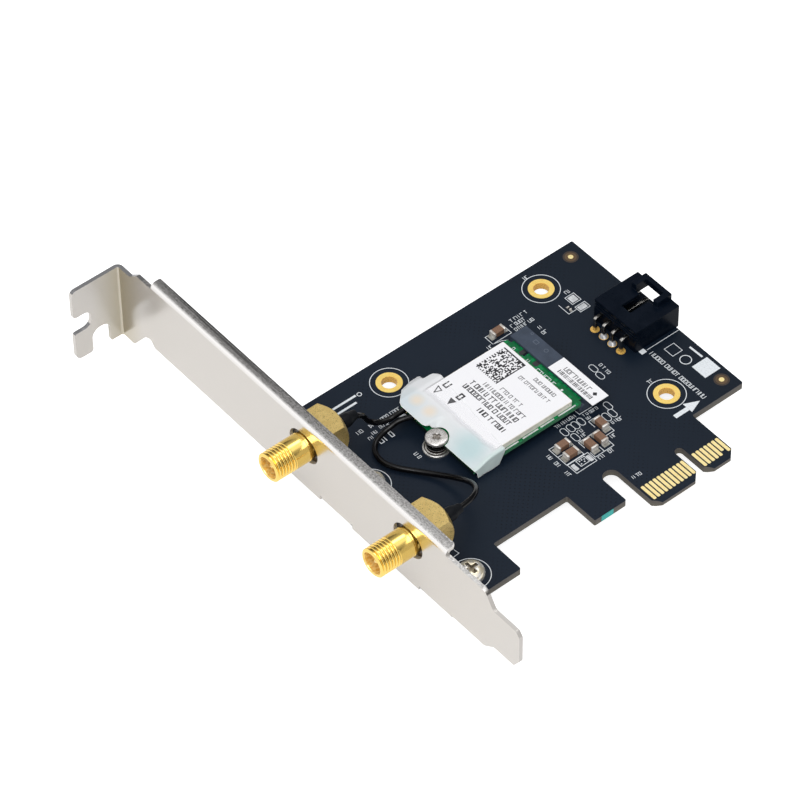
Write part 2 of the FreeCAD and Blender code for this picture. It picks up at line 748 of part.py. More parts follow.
def antenna_jack(number, y):
    rear = BRACKET_BACK_X + JACK_BODY_LENGTH
    ferrule_end = rear + FERRULE_LENGTH
    ferrule = rod(FERRULE_R, (rear, y, JACK_Z), (ferrule_end, y, JACK_Z))
    shell = jack_barrel(y).fuse([jack_body(y), ferrule])
    shell = shell.cut(rod(CABLE_BORE_R, (BRACKET_BACK_X, y, JACK_Z), (ferrule_end, y, JACK_Z)))
    PARTS["antenna_jack_%d" % number] = shell.removeSplitter()
    insulator = [
        (JACK_FRONT_X + INSULATOR_DEPTH, JACK_PIN_R + FIT),
        (JACK_FRONT_X + INSULATOR_DEPTH, JACK_BORE_R - FIT),
        (BRACKET_BACK_X, JACK_BORE_R - FIT),
        (BRACKET_BACK_X, CABLE_BORE_R),
        (CABLE_START_X, CABLE_BORE_R),
        (CABLE_START_X, JACK_PIN_R + FIT),
    ]
    PARTS["jack_insulator_%d" % number] = turned(insulator, y)
    pin_front = JACK_FRONT_X + JACK_PIN_DEPTH
    pin = [
        (pin_front, 0),
        (pin_front, JACK_PIN_TIP_R),
        (pin_front + JACK_PIN_TIP_R, JACK_PIN_R),
        (CABLE_START_X, JACK_PIN_R),
        (CABLE_START_X, 0),
    ]
    PARTS["jack_pin_%d" % number] = turned(pin, y)
    sleeve = [
        (rear, FERRULE_R + FIT),
        (rear, SLEEVE_R),
        (rear + SLEEVE_LENGTH, SLEEVE_R),
        (rear + SLEEVE_LENGTH, FERRULE_R + FIT),
    ]
    PARTS["cable_sleeve_%d" % number] = turned(sleeve, y)


def antenna_cables():
    PARTS["coax_cable_1"] = tube(CABLE_1_ROUTE, CABLE_R)
    PARTS["coax_cable_2"] = tube(CABLE_2_ROUTE, CABLE_R)


def antenna_plugs():
    inner = PLUG_R - PLUG_WALL
    half = RECEPTACLE_SIZE / 2
    ring_top = PLUG_LOW_Z + RECEPTACLE_RING_H
    receptacles = []
    for number, y in enumerate(PLUG_YS):
        cap = rod(PLUG_R, (PLUG_X, y, PLUG_LOW_Z), (PLUG_X, y, PLUG_LOW_Z + PLUG_H))
        barrel = rod(PLUG_BARREL_R, plug_point(number, PLUG_LENGTH), plug_point(number, inner))
        barrel = barrel.cut(box(PLUG_X - half, PLUG_X + half, y - half, y + half, 0, PLUG_LOW_Z))
        hollow = rod(inner, (PLUG_X, y, PLUG_LOW_Z), (PLUG_X, y, ring_top + FIT))
        PARTS["coax_plug_%d" % (number + 1)] = cap.fuse(barrel).cut(hollow).removeSplitter()
        base = box(PLUG_X - half, PLUG_X + half, y - half, y + half, MODULE_TOP_Z, PLUG_LOW_Z)
        ring = rod(inner - FIT, (PLUG_X, y, PLUG_LOW_Z), (PLUG_X, y, ring_top))
        receptacles.append(base.fuse(ring))
    PARTS["module_receptacles"] = Part.Compound(receptacles)


def module_board():
    low, high = MODULE_Y - MODULE_WIDTH / 2, MODULE_Y + MODULE_WIDTH / 2
    edge_low, edge_high = MODULE_Y - CARD_EDGE_WIDTH / 2, MODULE_Y + CARD_EDGE_WIDTH / 2
    corners = [
        (MODULE_LEFT, low, MODULE_CORNER_R),
        (MODULE_RIGHT, low, MODULE_CORNER_R),
        (MODULE_RIGHT, edge_low, 0),
        (CARD_EDGE_X, edge_low, MODULE_CORNER_R),
        (CARD_EDGE_X, edge_high, MODULE_CORNER_R),
        (MODULE_RIGHT, edge_high, 0),
        (MODULE_RIGHT, high, MODULE_CORNER_R),
        (MODULE_LEFT, high, MODULE_CORNER_R),
    ]
    card = plate(corners, on_xy(MODULE_LOW_Z), v(0, 0, MODULE_T))
    notch_low, notch_high = (MODULE_LEFT, MODULE_Y, MODULE_LOW_Z), (MODULE_LEFT, MODULE_Y, MODULE_TOP_Z)
    key_y = MODULE_Y + MODULE_KEY_OFFSET
    key_half = MODULE_KEY_WIDTH / 2
    key_left = CARD_EDGE_X - MODULE_KEY_DEPTH
    key = box(key_left, CARD_EDGE_X, key_y - key_half, key_y + key_half, MODULE_LOW_Z, MODULE_TOP_Z)
    PARTS["module_board"] = card.cut(rod(MODULE_NOTCH_R, notch_low, notch_high)).cut(key)
    right = CARD_EDGE_X - MODULE_CONTACT_INSET
    left = right - MODULE_CONTACT_LENGTH
    half = MODULE_CONTACT_WIDTH / 2
    fingers = []
    for y in module_contact_ys():
        if abs(y - key_y) < key_half + MODULE_CONTACT_PITCH / 2:
            continue
        for z0 in (MODULE_TOP_Z, MODULE_LOW_Z - MODULE_CONTACT_T):
            fingers.append(box(left, right, y - half, y + half, z0, z0 + MODULE_CONTACT_T))
    PARTS["module_edge_contacts"] = Part.Compound(fingers)


def module_shield():
    top = MODULE_TOP_Z + SHIELD_H
    can = plate(
        [
            (SHIELD_LEFT, SHIELD_LOW_Y, SHIELD_CORNER_R),
            (SHIELD_RIGHT, SHIELD_LOW_Y, SHIELD_CORNER_R),
            (SHIELD_RIGHT, SHIELD_HIGH_Y, SHIELD_CORNER_R),
            (SHIELD_LEFT, SHIELD_HIGH_Y, SHIELD_CORNER_R),
        ],
        on_xy(MODULE_TOP_Z),
        v(0, 0, SHIELD_H),
    )
    left, right = SHIELD_LEFT + SHIELD_T, SHIELD_RIGHT - SHIELD_T
    low, high = SHIELD_LOW_Y + SHIELD_T, SHIELD_HIGH_Y - SHIELD_T
    PARTS["module_shield"] = can.cut(box(left, right, low, high, MODULE_TOP_Z, top - SHIELD_T))
    left, right = SHIELD_LEFT + LABEL_MARGIN, SHIELD_RIGHT - LABEL_MARGIN
    low, high = SHIELD_LOW_Y + LABEL_MARGIN, SHIELD_HIGH_Y - LABEL_MARGIN
    PARTS["module_label"] = box(left, right, low, high, top, top + LABEL_T)


def module_socket():
    low, high = MODULE_Y - SOCKET_WIDTH / 2, MODULE_Y + SOCKET_WIDTH / 2
    lip_left = SOCKET_LEFT - SOCKET_LIP
    slot_low, slot_high = MODULE_LOW_Z - SOCKET_CLEAR, MODULE_TOP_Z + SOCKET_CLEAR
    profile = [
        (lip_left, SOCKET_TAIL_T, 0),
        (SOCKET_RIGHT, SOCKET_TAIL_T, 0),
        (SOCKET_RIGHT, SOCKET_H - SOCKET_REAR_CHAMFER_H, 0),
        (SOCKET_RIGHT - SOCKET_REAR_CHAMFER, SOCKET_H, 0),
        (SOCKET_LEFT, SOCKET_H, 0.2),
        (SOCKET_LEFT, slot_low, 0),
        (lip_left, slot_low - SOCKET_LIP_CHAMFER, 0),
    ]
    body = plate(profile, on_xz(low), v(0, SOCKET_WIDTH, 0))
    slot_half = CARD_EDGE_WIDTH / 2 + SOCKET_CLEAR
    slot_right = CARD_EDGE_X + SOCKET_CLEAR
    slot = box(lip_left, slot_right, MODULE_Y - slot_half, MODULE_Y + slot_half, slot_low, slot_high)
    key_y = MODULE_Y + MODULE_KEY_OFFSET
    key_half = MODULE_KEY_WIDTH / 2 - SOCKET_CLEAR
    key_left = SOCKET_LEFT + SOCKET_KEY_INSET
    key = box(key_left, slot_right, key_y - key_half, key_y + key_half, slot_low, slot_high)
    foot_right = lip_left + SOCKET_FOOT
    feet = [
        box(lip_left, foot_right, y, y + SOCKET_FOOT, 0, SOCKET_TAIL_T)
        for y in (low, high - SOCKET_FOOT)
    ]
    PARTS["module_socket"] = body.cut(slot).fuse([key] + feet).removeSplitter()
    left = SOCKET_RIGHT - SOCKET_TAIL_GRIP
    right = SOCKET_RIGHT + SOCKET_TAIL_LENGTH
    half = SOCKET_TAIL_WIDTH / 2
    tails = [box(left, right, y - half, y + half, 0, SOCKET_TAIL_T) for y in module_contact_ys()]
    PARTS["socket_contacts"] = Part.Compound(tails)
    right = SOCKET_RIGHT - SOCKET_REAR_CHAMFER
    top = SOCKET_H + LABEL_T
    label_low = low - SOCKET_LABEL_OVERHANG
    label_high = label_low + SOCKET_LABEL_LENGTH
    PARTS["socket_label"] = box(SOCKET_LEFT, right, label_low, label_high, SOCKET_H, top)


def module_fixing():
    bore = MODULE_SCREW_SHANK_R + STANDOFF_BORE_CLEARANCE
    standoff = [
        (bore, 0),
        (STANDOFF_FLANGE_R, 0),
        (STANDOFF_FLANGE_R, STANDOFF_FLANGE_H - STANDOFF_FLANGE_CHAMFER),
        (STANDOFF_FLANGE_R - STANDOFF_FLANGE_CHAMFER, STANDOFF_FLANGE_H),
        (STANDOFF_R, STANDOFF_FLANGE_H),
        (STANDOFF_R, MODULE_LOW_Z),
        (bore, MODULE_LOW_Z),
    ]
    PARTS["module_standoff"] = spun(standoff, MODULE_LEFT, MODULE_Y)
    head_top = MODULE_TOP_Z + MODULE_SCREW_HEAD_H
    low = MODULE_TOP_Z - MODULE_SCREW_LENGTH
    profile = [
        (0, low),
        (MODULE_SCREW_SHANK_R, low),
        (MODULE_SCREW_SHANK_R, MODULE_TOP_Z),
        (MODULE_SCREW_HEAD_R, MODULE_TOP_Z),
        (MODULE_SCREW_HEAD_R, head_top - MODULE_SCREW_CHAMFER),
        (MODULE_SCREW_HEAD_R - MODULE_SCREW_CHAMFER, head_top),
        (0, head_top),
    ]
    screw = spun(profile, MODULE_LEFT, MODULE_Y)
    recess = cross_recess(MODULE_LEFT, MODULE_Y, head_top, MODULE_RECESS_REACH, MODULE_RECESS_DEPTH)
    PARTS["module_screw"] = screw.cut(recess)


def plug_tape():
    """Thin film over the plugs and the end of the shield, with a skirt and a loose flap."""
    low_y = MODULE_Y - MODULE_WIDTH / 2 - TAPE_SIDE_GAP - TAPE_T
    high_y = MODULE_Y + MODULE_WIDTH / 2
    z0 = MODULE_TOP_Z + SHIELD_H + LABEL_T
    z1 = z0 + TAPE_T
    left = MODULE_LEFT - TAPE_LEFT_OVERHANG
    right_low = SHIELD_LEFT + TAPE_OVER_SHIELD_LOW
    right_high = SHIELD_LEFT + TAPE_OVER_SHIELD_HIGH
    corners = [(left, low_y, 0), (right_low, low_y, 0), (right_high, high_y, 0), (left, high_y, 0)]
    cut_r = MODULE_SCREW_HEAD_R + TAPE_SCREW_MARGIN
    over_screw = rod(cut_r, (MODULE_LEFT, MODULE_Y, z0), (MODULE_LEFT, MODULE_Y, z1))
    film = plate(corners, on_xy(z0), v(0, 0, TAPE_T)).cut(over_screw)
    skirt = plate(
        [
            (left + TAPE_SKIRT_LEFT_INSET, TAPE_SKIRT_LOW_Z, 0.2),
            (right_low - TAPE_SKIRT_RIGHT_INSET, TAPE_SKIRT_LOW_Z, 0.2),
            (right_low, z1, 0),
            (left, z1, 0),
        ],
        on_xz(low_y),
        v(0, TAPE_T, 0),
    )
    flap_y = high_y + TAPE_FLAP_LENGTH
    flap_left = left + TAPE_FLAP_LEFT_INSET
    flap = plate(
        [
            (high_y, z0, 0),
            (flap_y, z0 - TAPE_FLAP_DROP, 0),
            (flap_y, z1 - TAPE_FLAP_DROP, 0),
            (high_y, z1, 0),
        ],
        on_yz(flap_left),
        v(right_high - TAPE_FLAP_RIGHT_INSET - flap_left, 0, 0),
    )
    PARTS["plug_tape"] = film.fuse([skirt, flap]).removeSplitter()


def header_shroud():
    """Open fronted housing with an arch for the plug's latch and a slotted top."""
    low, high = HEADER_Y - HEADER_WIDTH / 2, HEADER_Y + HEADER_WIDTH / 2
    arch_top = HEADER_H + ARCH_H
    arch_rear = HEADER_FRONT_X - ARCH_LENGTH
    body = box(HEADER_REAR_X, HEADER_FRONT_X, low, high, 0, HEADER_H)
    arch_low, arch_high = HEADER_Y - ARCH_HALF_WIDTH, HEADER_Y + ARCH_HALF_WIDTH
    body = body.fuse(box(arch_rear, HEADER_FRONT_X, arch_low, arch_high, HEADER_WALL, arch_top))
    roof = HEADER_H - HEADER_TOP_WALL
    cavity_rear = HEADER_REAR_X + HEADER_BACK_WALL
    inner_low, inner_high = low + HEADER_WALL, high - HEADER_WALL
    body = body.cut(box(cavity_rear, HEADER_FRONT_X, inner_low, inner_high, HEADER_WALL, roof))
    inner = ARCH_HALF_WIDTH - ARCH_CHEEK
    window_low, window_high = HEADER_Y - inner, HEADER_Y + inner
    bar_x = HEADER_FRONT_X - ARCH_BAR
    body = body.cut(box(arch_rear, bar_x, window_low, window_high, roof, arch_top))
    body = body.cut(box(bar_x, HEADER_FRONT_X, window_low, window_high, roof, HEADER_H))
    slot_low, slot_high = HEADER_Y - SLOT_HALF_WIDTH, HEADER_Y + SLOT_HALF_WIDTH
    body = body.cut(box(HEADER_REAR_X + SLOT_INSET, arch_rear, slot_low, slot_high, roof, HEADER_H))
    for depth in GROOVE_DEPTHS:
        z1 = HEADER_H - depth
        groove = box(HEADER_REAR_X, HEADER_REAR_X + GROOVE_SIZE, low, high, z1 - GROOVE_SIZE, z1)
        body = body.cut(groove)
    half = PIN_SIZE / 2 + FIT
    for y in pin_ys():
        body = body.cut(box(HEADER_REAR_X, cavity_rear, y - half, y + half, PIN_Z - half, PIN_Z + half))
    PARTS["header_shroud"] = body.removeSplitter()


def header_pins():
    half = PIN_SIZE / 2
    pin_x = HEADER_REAR_X - PIN_BEND_GAP
    tip = HEADER_FRONT_X - PIN_TIP_INSET
    corners = [
        (tip, PIN_Z - half, 0),
        (tip, PIN_Z + half, 0),
        (pin_x - half, PIN_Z + half, PIN_BEND_R),
        (pin_x - half, -BOARD_T - PIN_TAIL, 0),
        (pin_x + half, -BOARD_T - PIN_TAIL, 0),
        (pin_x + half, PIN_Z - half, 0),
    ]
    pins = [plate(corners, on_xz(y - half), v(0, PIN_SIZE, 0)) for y in pin_ys()]
    PARTS["header_pins"] = Part.Compound(pins)
    pads = []
    slot = half + FIT
    for y in pin_ys():
        for z0, z1 in ((0, PLATING_T), (-BOARD_T - PLATING_T, -BOARD_T)):
            disc = rod(PAD_R, (pin_x, y, z0), (pin_x, y, z1))
            pads.append(disc.cut(box(pin_x - slot, pin_x + slot, y - slot, y + slot, z0, z1)))
    PARTS["header_pads"] = Part.Compound(pads)
    top = PLATING_T + SOLDER_H
    profile = [
        (0, PLATING_T),
        (SOLDER_R, PLATING_T),
        (SOLDER_WAIST_R, PLATING_T + SOLDER_H * 0.6),
        (SOLDER_TOP_R, top),
        (0, top),
    ]
    solder = []
    for y in pin_ys()[1:-1]:
        pin = box(pin_x - half, pin_x + half, y - half, y + half, PLATING_T, top)
        solder.append(spun(profile, pin_x, y).cut(pin))
    PARTS["header_solder"] = Part.Compound(solder)


def chip(x, y, along_x, length, width, height, end, pad_margin):
    """Body, two end caps and two solder pads of a small chip part."""

    def block(a0, a1, b, z0, z1):
        if along_x:
            return box(x + a0, x + a1, y - b, y + b, z0, z1)
        return box(x - b, x + b, y + a0, y + a1, z0, z1)

    half, side, inset = length / 2, width / 2, CHIP_BODY_INSET
    low = PLATING_T
    top = low + height
    body = block(end - half, half - end, side - inset, low, top - inset)
    caps = [block(-half, end - half, side, low, top), block(half - end, half, side, low, top)]
    reach = half + pad_margin
    pads = [block(-reach, end - half, side, 0, low), block(half - end, reach, side, 0, low)]
    return body, caps, pads


def small_parts():
    size = (CAPACITOR_LENGTH, CAPACITOR_WIDTH, CAPACITOR_H, CAPACITOR_END, CAPACITOR_PAD_MARGIN)
    chips = [chip(x, y, True, *size) for x, y in CAPACITORS_ALONG_X]
    chips += [chip(x, y, False, *size) for x, y in CAPACITORS_ALONG_Y]
    PARTS["capacitor_bodies"] = Part.Compound([body for body, _, _ in chips])
    PARTS["capacitor_ends"] = Part.Compound([cap for _, caps, _ in chips for cap in caps])
    size = (RESISTOR_LENGTH, RESISTOR_WIDTH, RESISTOR_H, RESISTOR_END, RESISTOR_PAD_MARGIN)
    resistor, ends, lands = chip(*RESISTOR_AT, False, *size)
    PARTS["resistor_body"] = resistor
    PARTS["resistor_ends"] = Part.Compound(ends)
    PARTS["solder_pads"] = Part.Compound([pad for _, _, pads in chips for pad in pads] + lands)


def write_parts():
    os.makedirs("parts", exist_ok=True)
    for name, shape in PARTS.items():
        shape.exportStep("parts/%s.step" % name)
        b = shape.BoundBox
        print(name, len(shape.Solids), "solids,", "valid" if shape.isValid() else "NOT VALID")
        print("   X %.2f %.2f, Y %.2f %.2f, Z %.2f %.2f" % (b.XMin, b.XMax, b.YMin, b.YMax, b.ZMin, b.ZMax))


board()
edge_contacts()
hole_rings()
bracket()
bracket_screws()
for jack_number, jack_y in enumerate(JACK_YS, 1):
    antenna_jack(jack_number, jack_y)
antenna_cables()
antenna_plugs()
module_board()
module_shield()
module_socket()
module_fixing()
plug_tape()
header_shroud()
header_pins()
small_parts()
write_parts()
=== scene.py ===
import json
import random
from math import acos, asin, cos, degrees, pi, radians, sin, sqrt

import bmesh
import bpy
from mathutils import Matrix, Vector, noise

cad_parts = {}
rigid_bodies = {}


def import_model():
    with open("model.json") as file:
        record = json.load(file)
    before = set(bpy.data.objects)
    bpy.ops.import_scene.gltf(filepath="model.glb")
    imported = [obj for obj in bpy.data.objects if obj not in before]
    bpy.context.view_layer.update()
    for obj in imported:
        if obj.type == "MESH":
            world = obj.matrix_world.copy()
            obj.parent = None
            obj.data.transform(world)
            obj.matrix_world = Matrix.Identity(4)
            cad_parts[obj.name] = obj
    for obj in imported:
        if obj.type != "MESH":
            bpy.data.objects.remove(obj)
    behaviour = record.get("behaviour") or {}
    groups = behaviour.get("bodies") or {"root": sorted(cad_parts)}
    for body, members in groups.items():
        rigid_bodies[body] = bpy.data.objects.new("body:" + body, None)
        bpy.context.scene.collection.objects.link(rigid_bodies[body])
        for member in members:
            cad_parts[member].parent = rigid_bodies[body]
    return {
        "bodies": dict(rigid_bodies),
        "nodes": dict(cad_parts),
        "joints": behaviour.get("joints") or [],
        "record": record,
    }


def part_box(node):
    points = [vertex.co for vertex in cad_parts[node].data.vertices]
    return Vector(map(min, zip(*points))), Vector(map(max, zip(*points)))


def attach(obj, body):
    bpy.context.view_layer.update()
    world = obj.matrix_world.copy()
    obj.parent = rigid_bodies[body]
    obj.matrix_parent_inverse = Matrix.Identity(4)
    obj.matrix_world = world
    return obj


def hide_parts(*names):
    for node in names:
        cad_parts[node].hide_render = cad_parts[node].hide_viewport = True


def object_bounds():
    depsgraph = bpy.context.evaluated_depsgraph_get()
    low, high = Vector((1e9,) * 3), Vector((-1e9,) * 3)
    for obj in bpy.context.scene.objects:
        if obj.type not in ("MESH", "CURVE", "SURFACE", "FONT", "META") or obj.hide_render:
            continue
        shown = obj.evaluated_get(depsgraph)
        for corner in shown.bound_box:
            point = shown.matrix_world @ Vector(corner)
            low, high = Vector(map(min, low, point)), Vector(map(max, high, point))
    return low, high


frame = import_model()
CAD_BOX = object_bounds()
NODES = frame["nodes"]

# The look of a network card on a plain pale floor. Lengths are millimetres unless a
# name says otherwise, and MM turns them into Blender's metres. X runs from the bracket
# to the rear of the card, Y from the edge contacts to the top, Z out of the component side.
MM = 0.001

# Camera and lamp, in metres; lens and sensor in millimetres
CAMERA_EYE = (-0.4033, -0.4031, 0.6433)
CAMERA_RIGHT = (0.769, -0.6392, -0.0088)
CAMERA_UP = (0.4767, 0.5642, 0.6741)
CAMERA_LENS = 202.6
CAMERA_SENSOR = 36
CAMERA_FAR = 20
LAMP_AT = (-0.38, -0.24, 0.66)
LAMP_TOWARDS = (-0.02, 0.04, 0)

# Coax cables: control points of each route, from inside the socket's body to the plug
CABLE_DIAMETER = 1.13
CABLE_1_ROUTE = (
    (-63.09, 48.3, 9.1), (-56.5, 48.3, 9.1), (-50.4, 48.31, 9.1), (-47.4, 48.3, 9.04),
    (-45.6, 48.3, 8.3), (-44.3, 48.4, 6.9), (-43.5, 48.5, 5.2), (-42.35, 48.4, 3.75),
    (-40.8, 48.05, 2.9), (-39, 47.6, 2.75), (-37.2, 47.2, 3.3), (-35.2, 47.2, 3.3),
)
CABLE_2_ROUTE = (
    (-63.09, 17.5, 9.1), (-57.2, 17.5, 9.1), (-51.3, 17.51, 9.1), (-46, 17.53, 9.04),
    (-42.6, 18.2, 8.6), (-39.9, 20.2, 7.3), (-38.3, 23.6, 5), (-38.2, 27.4, 2.8),
    (-39.5, 31.4, 1.2), (-42, 35.2, 0.8), (-44.4, 38.3, 0.75), (-45.6, 41, 0.75),
    (-45.4, 43.7, 0.8), (-44, 45.7, 0.9), (-41.8, 46.6, 1.2), (-39.4, 46.5, 2),
    (-37.166, 45.809, 3.3), (-34.9, 44.752, 3.3),
)


def span(node):
    """Lowest and highest corner of a CAD node, in millimetres."""
    low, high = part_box(node)
    return Vector(low) / MM, Vector(high) / MM


# Sizes that the dress shares with the CAD, read off the frame where a node carries them
BOARD_LOW, BOARD_HIGH = span("circuit_board")
LABEL_LOW, LABEL_HIGH = span("module_label")
TAPE_LOW, TAPE_HIGH = span("plug_tape")
MODULE_LOW, MODULE_HIGH = span("module_board")
BRACKET_HIGH = span("bracket")[1]
SOCKET_TOP = span("module_socket")[1].z
STICKER_TOP = span("socket_label")[1].z
MOUNT_HOLES = ((-31, 56.95), (8.05, 56.95), (8.15, 20))
MOUNT_HOLE_R, PLATING_T = 1.6, 0.04
SCREW_HOLES = ((-50.35, 38.9), (-50.35, 9.65))
MODULE_SCREW = (-34.9, 38)
PLUGS = ((-32, 47.2), (-32, 43.4))
SHEET_T = 0.86
BRACKET_FACE, BRACKET_BACK = -59.05, -58.19
JACK_AXES = ((48.3, 9.1), (17.5, 9.1))
JACK_FRONT = span("antenna_jack_1")[0].x
BARREL_R, BORE_R = 3.1, 2.3
THREAD_ROOT, THREAD_PITCH = 2.8, 0.706
THREAD_START, THREAD_END = 0.35, 4.8
BODY_WIDTH, BODY_LENGTH, BODY_CUT = 8, 7.15, 1.4
BODY_END = BRACKET_BACK + BODY_LENGTH
FERRULE_LENGTH = 2.8
FINGER_PITCH, FINGER_WIDTH = 1, 0.7
FINGER_START, FINGER_END = 1.3, 5.3
KEY_TO_FINGER, LONG_ROW, SHORT_ROW = 1.5, 11, 7
BOARD_STEP_Y = 4.65
FIDUCIALS = ((18.3, 59.8), (18.8, 15.9))
FILM_T = 0.08
FILM_MIDDLE = TAPE_HIGH.z - 0.06

# Part of a normal along an axis above which a face counts as facing it
FLAT_ON = 0.6

# Print on the board: height of the ink, width of a thin line, outlines with round ends
# (x, y from, y to), and rows of strokes in place of words (x, y from, x, y to, height)
INK_T = 0.018
THIN = 0.13
STADIUM_WIDTH = 1.2
STADIUMS = (
    (-13.55, 26.25, 24.2), (-11.95, 26.25, 24.2), (-10.75, 26.25, 24.2), (-9.3, 26.25, 24.2),
    (-12.8, 23.95, 21.8), (-2.6, 26.1, 23.9), (-4.75, 24.1, 21.8), (-3.2, 24.1, 21.9),
    (1.75, 35.25, 33.1), (1.5, 32.95, 30.85),
)
STROKE_ROWS = (
    (13.1, 30, 13.1, 14.6, 0.9), (-40.6, 50.5, -33.9, 50.5, 0.75), (-44.2, 50.65, -42.4, 50.65, 0.8),
    (-43.4, 48.1, -42.3, 48.1, 0.7), (-42, 48.75, -40.6, 48.75, 0.7), (-39.9, 49.1, -38.9, 49.1, 0.7),
    (-42.3, 46.3, -38.2, 46.3, 1.3), (-38.9, 39.6, -38.9, 38.2, 0.8), (-20, 22.7, -20, 21.4, 0.75),
    (-20, 20.5, -20, 19.2, 0.75), (-20.05, 17.3, -20.05, 16, 0.75), (-12.9, 15.95, -11.5, 15.95, 0.75),
    (-10.4, 15.95, -9, 15.95, 0.75), (-7.5, 18.55, -6.1, 18.55, 0.75), (-14.1, 27.25, -13, 27.25, 0.7),
    (-12.5, 27.25, -11.5, 27.25, 0.7), (-11, 27.25, -10, 27.25, 0.7), (-9.7, 27.1, -8.8, 27.1, 0.7),
    (-11.7, 23.5, -10.6, 23.5, 0.7), (-11.7, 22.35, -10.6, 22.35, 0.7), (-5, 21.2, -3.8, 21.2, 0.7),
    (-3.6, 21, -2.6, 21, 0.7), (3.45, 34.2, 3.45, 33, 0.7), (3.3, 32.3, 3.3, 31.1, 0.7),
    (-8, 26.1, -6.9, 26.1, 0.6), (-8, 25.1, -6.9, 25.1, 0.6), (-6.4, 26, -4.2, 26, 0.65),
    (-11.3, 8.1, -9.3, 8, 0.7), (-10.5, 51.5, -9.5, 51.5, 0.7), (-3.2, 51.8, 1.4, 51.8, 0.75),
    (-3.2, 53, 0.4, 53, 0.75), (-2.4, 54.2, 1.8, 54.2, 0.75), (0.7, 49.2, 1.9, 49.2, 0.75),
    (0.3, 47.7, 1.5, 47.7, 0.75), (10.9, 53, 12.2, 53, 0.75), (7.2, 61.25, 8.5, 61.25, 0.75),
    (7.3, 24.5, 8.5, 24.5, 0.75),
)


# Shader helpers


class Nodes:
    """The nodes of one material or world. A value is a number, a colour or a socket."""

    def __init__(self, tree):
        self.tree = tree

    def put(self, node, socket, value):
        if isinstance(value, bpy.types.NodeSocket):
            self.tree.links.new(value, node.inputs[socket])
        else:
            node.inputs[socket].default_value = value

    def add(self, kind, inputs=None, **settings):
        node = self.tree.nodes.new("ShaderNode" + kind)
        for name, value in settings.items():
            setattr(node, name, value)
        for socket, value in (inputs or {}).items():
            self.put(node, socket, value)
        return node

    def split(self, vector):
        return self.add("SeparateXYZ", {0: vector}).outputs

    def vector(self, operation, a, b):
        return self.add("VectorMath", {0: a, 1: b}, operation=operation).outputs

    def calc(self, operation, a, b=0):
        return self.add("Math", {0: a, 1: b}, operation=operation).outputs[0]

    def times(self, a, b):
        return self.calc("MULTIPLY", a, b)

    def over(self, value, limit):
        return self.calc("GREATER_THAN", value, limit)

    def under(self, value, limit):
        return self.calc("LESS_THAN", value, limit)

    def gap(self, a, b):
        """How far apart two values are."""
        return self.calc("ABSOLUTE", self.calc("SUBTRACT", a, b))

    def wave(self, value, pitch):
        return self.calc("SINE", self.times(value, 2 * pi / pitch))

    def steps(self, value, low, high, to_low=0, to_high=1):
        """A value carried from one range to another, and held at its ends."""
        inputs = {0: value, 1: low, 2: high, 3: to_low, 4: to_high}
        return self.add("MapRange", inputs, clamp=True).outputs[0]

    def mix(self, factor, a, b):
        """A mix of two numbers."""
        return self.add("Mix", {0: factor, 2: a, 3: b}, data_type="FLOAT").outputs[0]

    def blend(self, factor, a, b):
        """A mix of two colours."""
        inputs = {0: factor}
        for index, colour in ((6, a), (7, b)):
            inputs[index] = colour if isinstance(colour, bpy.types.NodeSocket) else (*colour, 1)
        return self.add("Mix", inputs, data_type="RGBA").outputs[2]

    def fade(self, value, low, high, a, b, most=1):
        """One colour that gives way to another, up to a share, as a value goes from low to high."""
        return self.blend(self.steps(value, low, high, 0, most), a, b)


class Surface(Nodes):
    """A material with a Principled shader, and where each point of it lies and faces."""

    def __init__(self, name, colour, metallic=0, roughness=0.5, **sockets):
        self.material = bpy.data.materials.new(name)
        self.material.use_nodes = True
        super().__init__(self.material.node_tree)
        self.shader = self.tree.nodes["Principled BSDF"]
        self.paint(Base_Color=(*colour, 1), Metallic=metallic, Roughness=roughness)
        self.paint(**sockets)
        spot = self.add("TexCoord").outputs
        self.normal = spot["Normal"]
        self.at = self.vector("MULTIPLY", spot["Object"], (1 / MM,) * 3)[0]

    def paint(self, **sockets):
        """Sets or links inputs of the shader."""
        for socket, value in sockets.items():
            self.put(self.shader, socket.replace("_", " "), value)

    def mottle(self, scale, detail=3, roughness=0.55, stretch=None):
        """Noise between 0 and 1, with that many lumps a millimetre."""
        at = self.vector("MULTIPLY", self.at, stretch)[0] if stretch else self.at
        inputs = {"Vector": at, "Scale": scale, "Detail": detail, "Roughness": roughness}
        return self.add("TexNoise", inputs).outputs["Fac"]

    def away_from(self, x, y, z=0, plane=(1, 1, 0)):
        """Distance in millimetres from the line through a point that stands on a plane."""
        return self.vector("DISTANCE", self.vector("MULTIPLY", self.at, plane)[0], (x, y, z))["Value"]

    def lies_flat(self):
        """1 on faces that look up or down, 0 on the sides."""
        return self.over(self.gap(self.split(self.normal)[2], 0), FLAT_ON)

    def emboss(self, height, depth_mm, strength=1):
        inputs = {"Strength": strength, "Distance": depth_mm * MM, "Height": height}
        self.paint(Normal=self.add("Bump", inputs).outputs[0])

    def grain(self, pattern, roughness, least, most, depth_mm):
        """A pattern that both dulls the gloss and stands out."""
        self.paint(Roughness=self.steps(pattern, 0.3, 0.7, roughness * least, roughness * most))
        self.emboss(pattern, depth_mm)


def toned(colour, *factors):
    """A colour times one factor, or times one for each of its channels."""
    return tuple(c * f for c, f in zip(colour, factors * 3))


# Materials


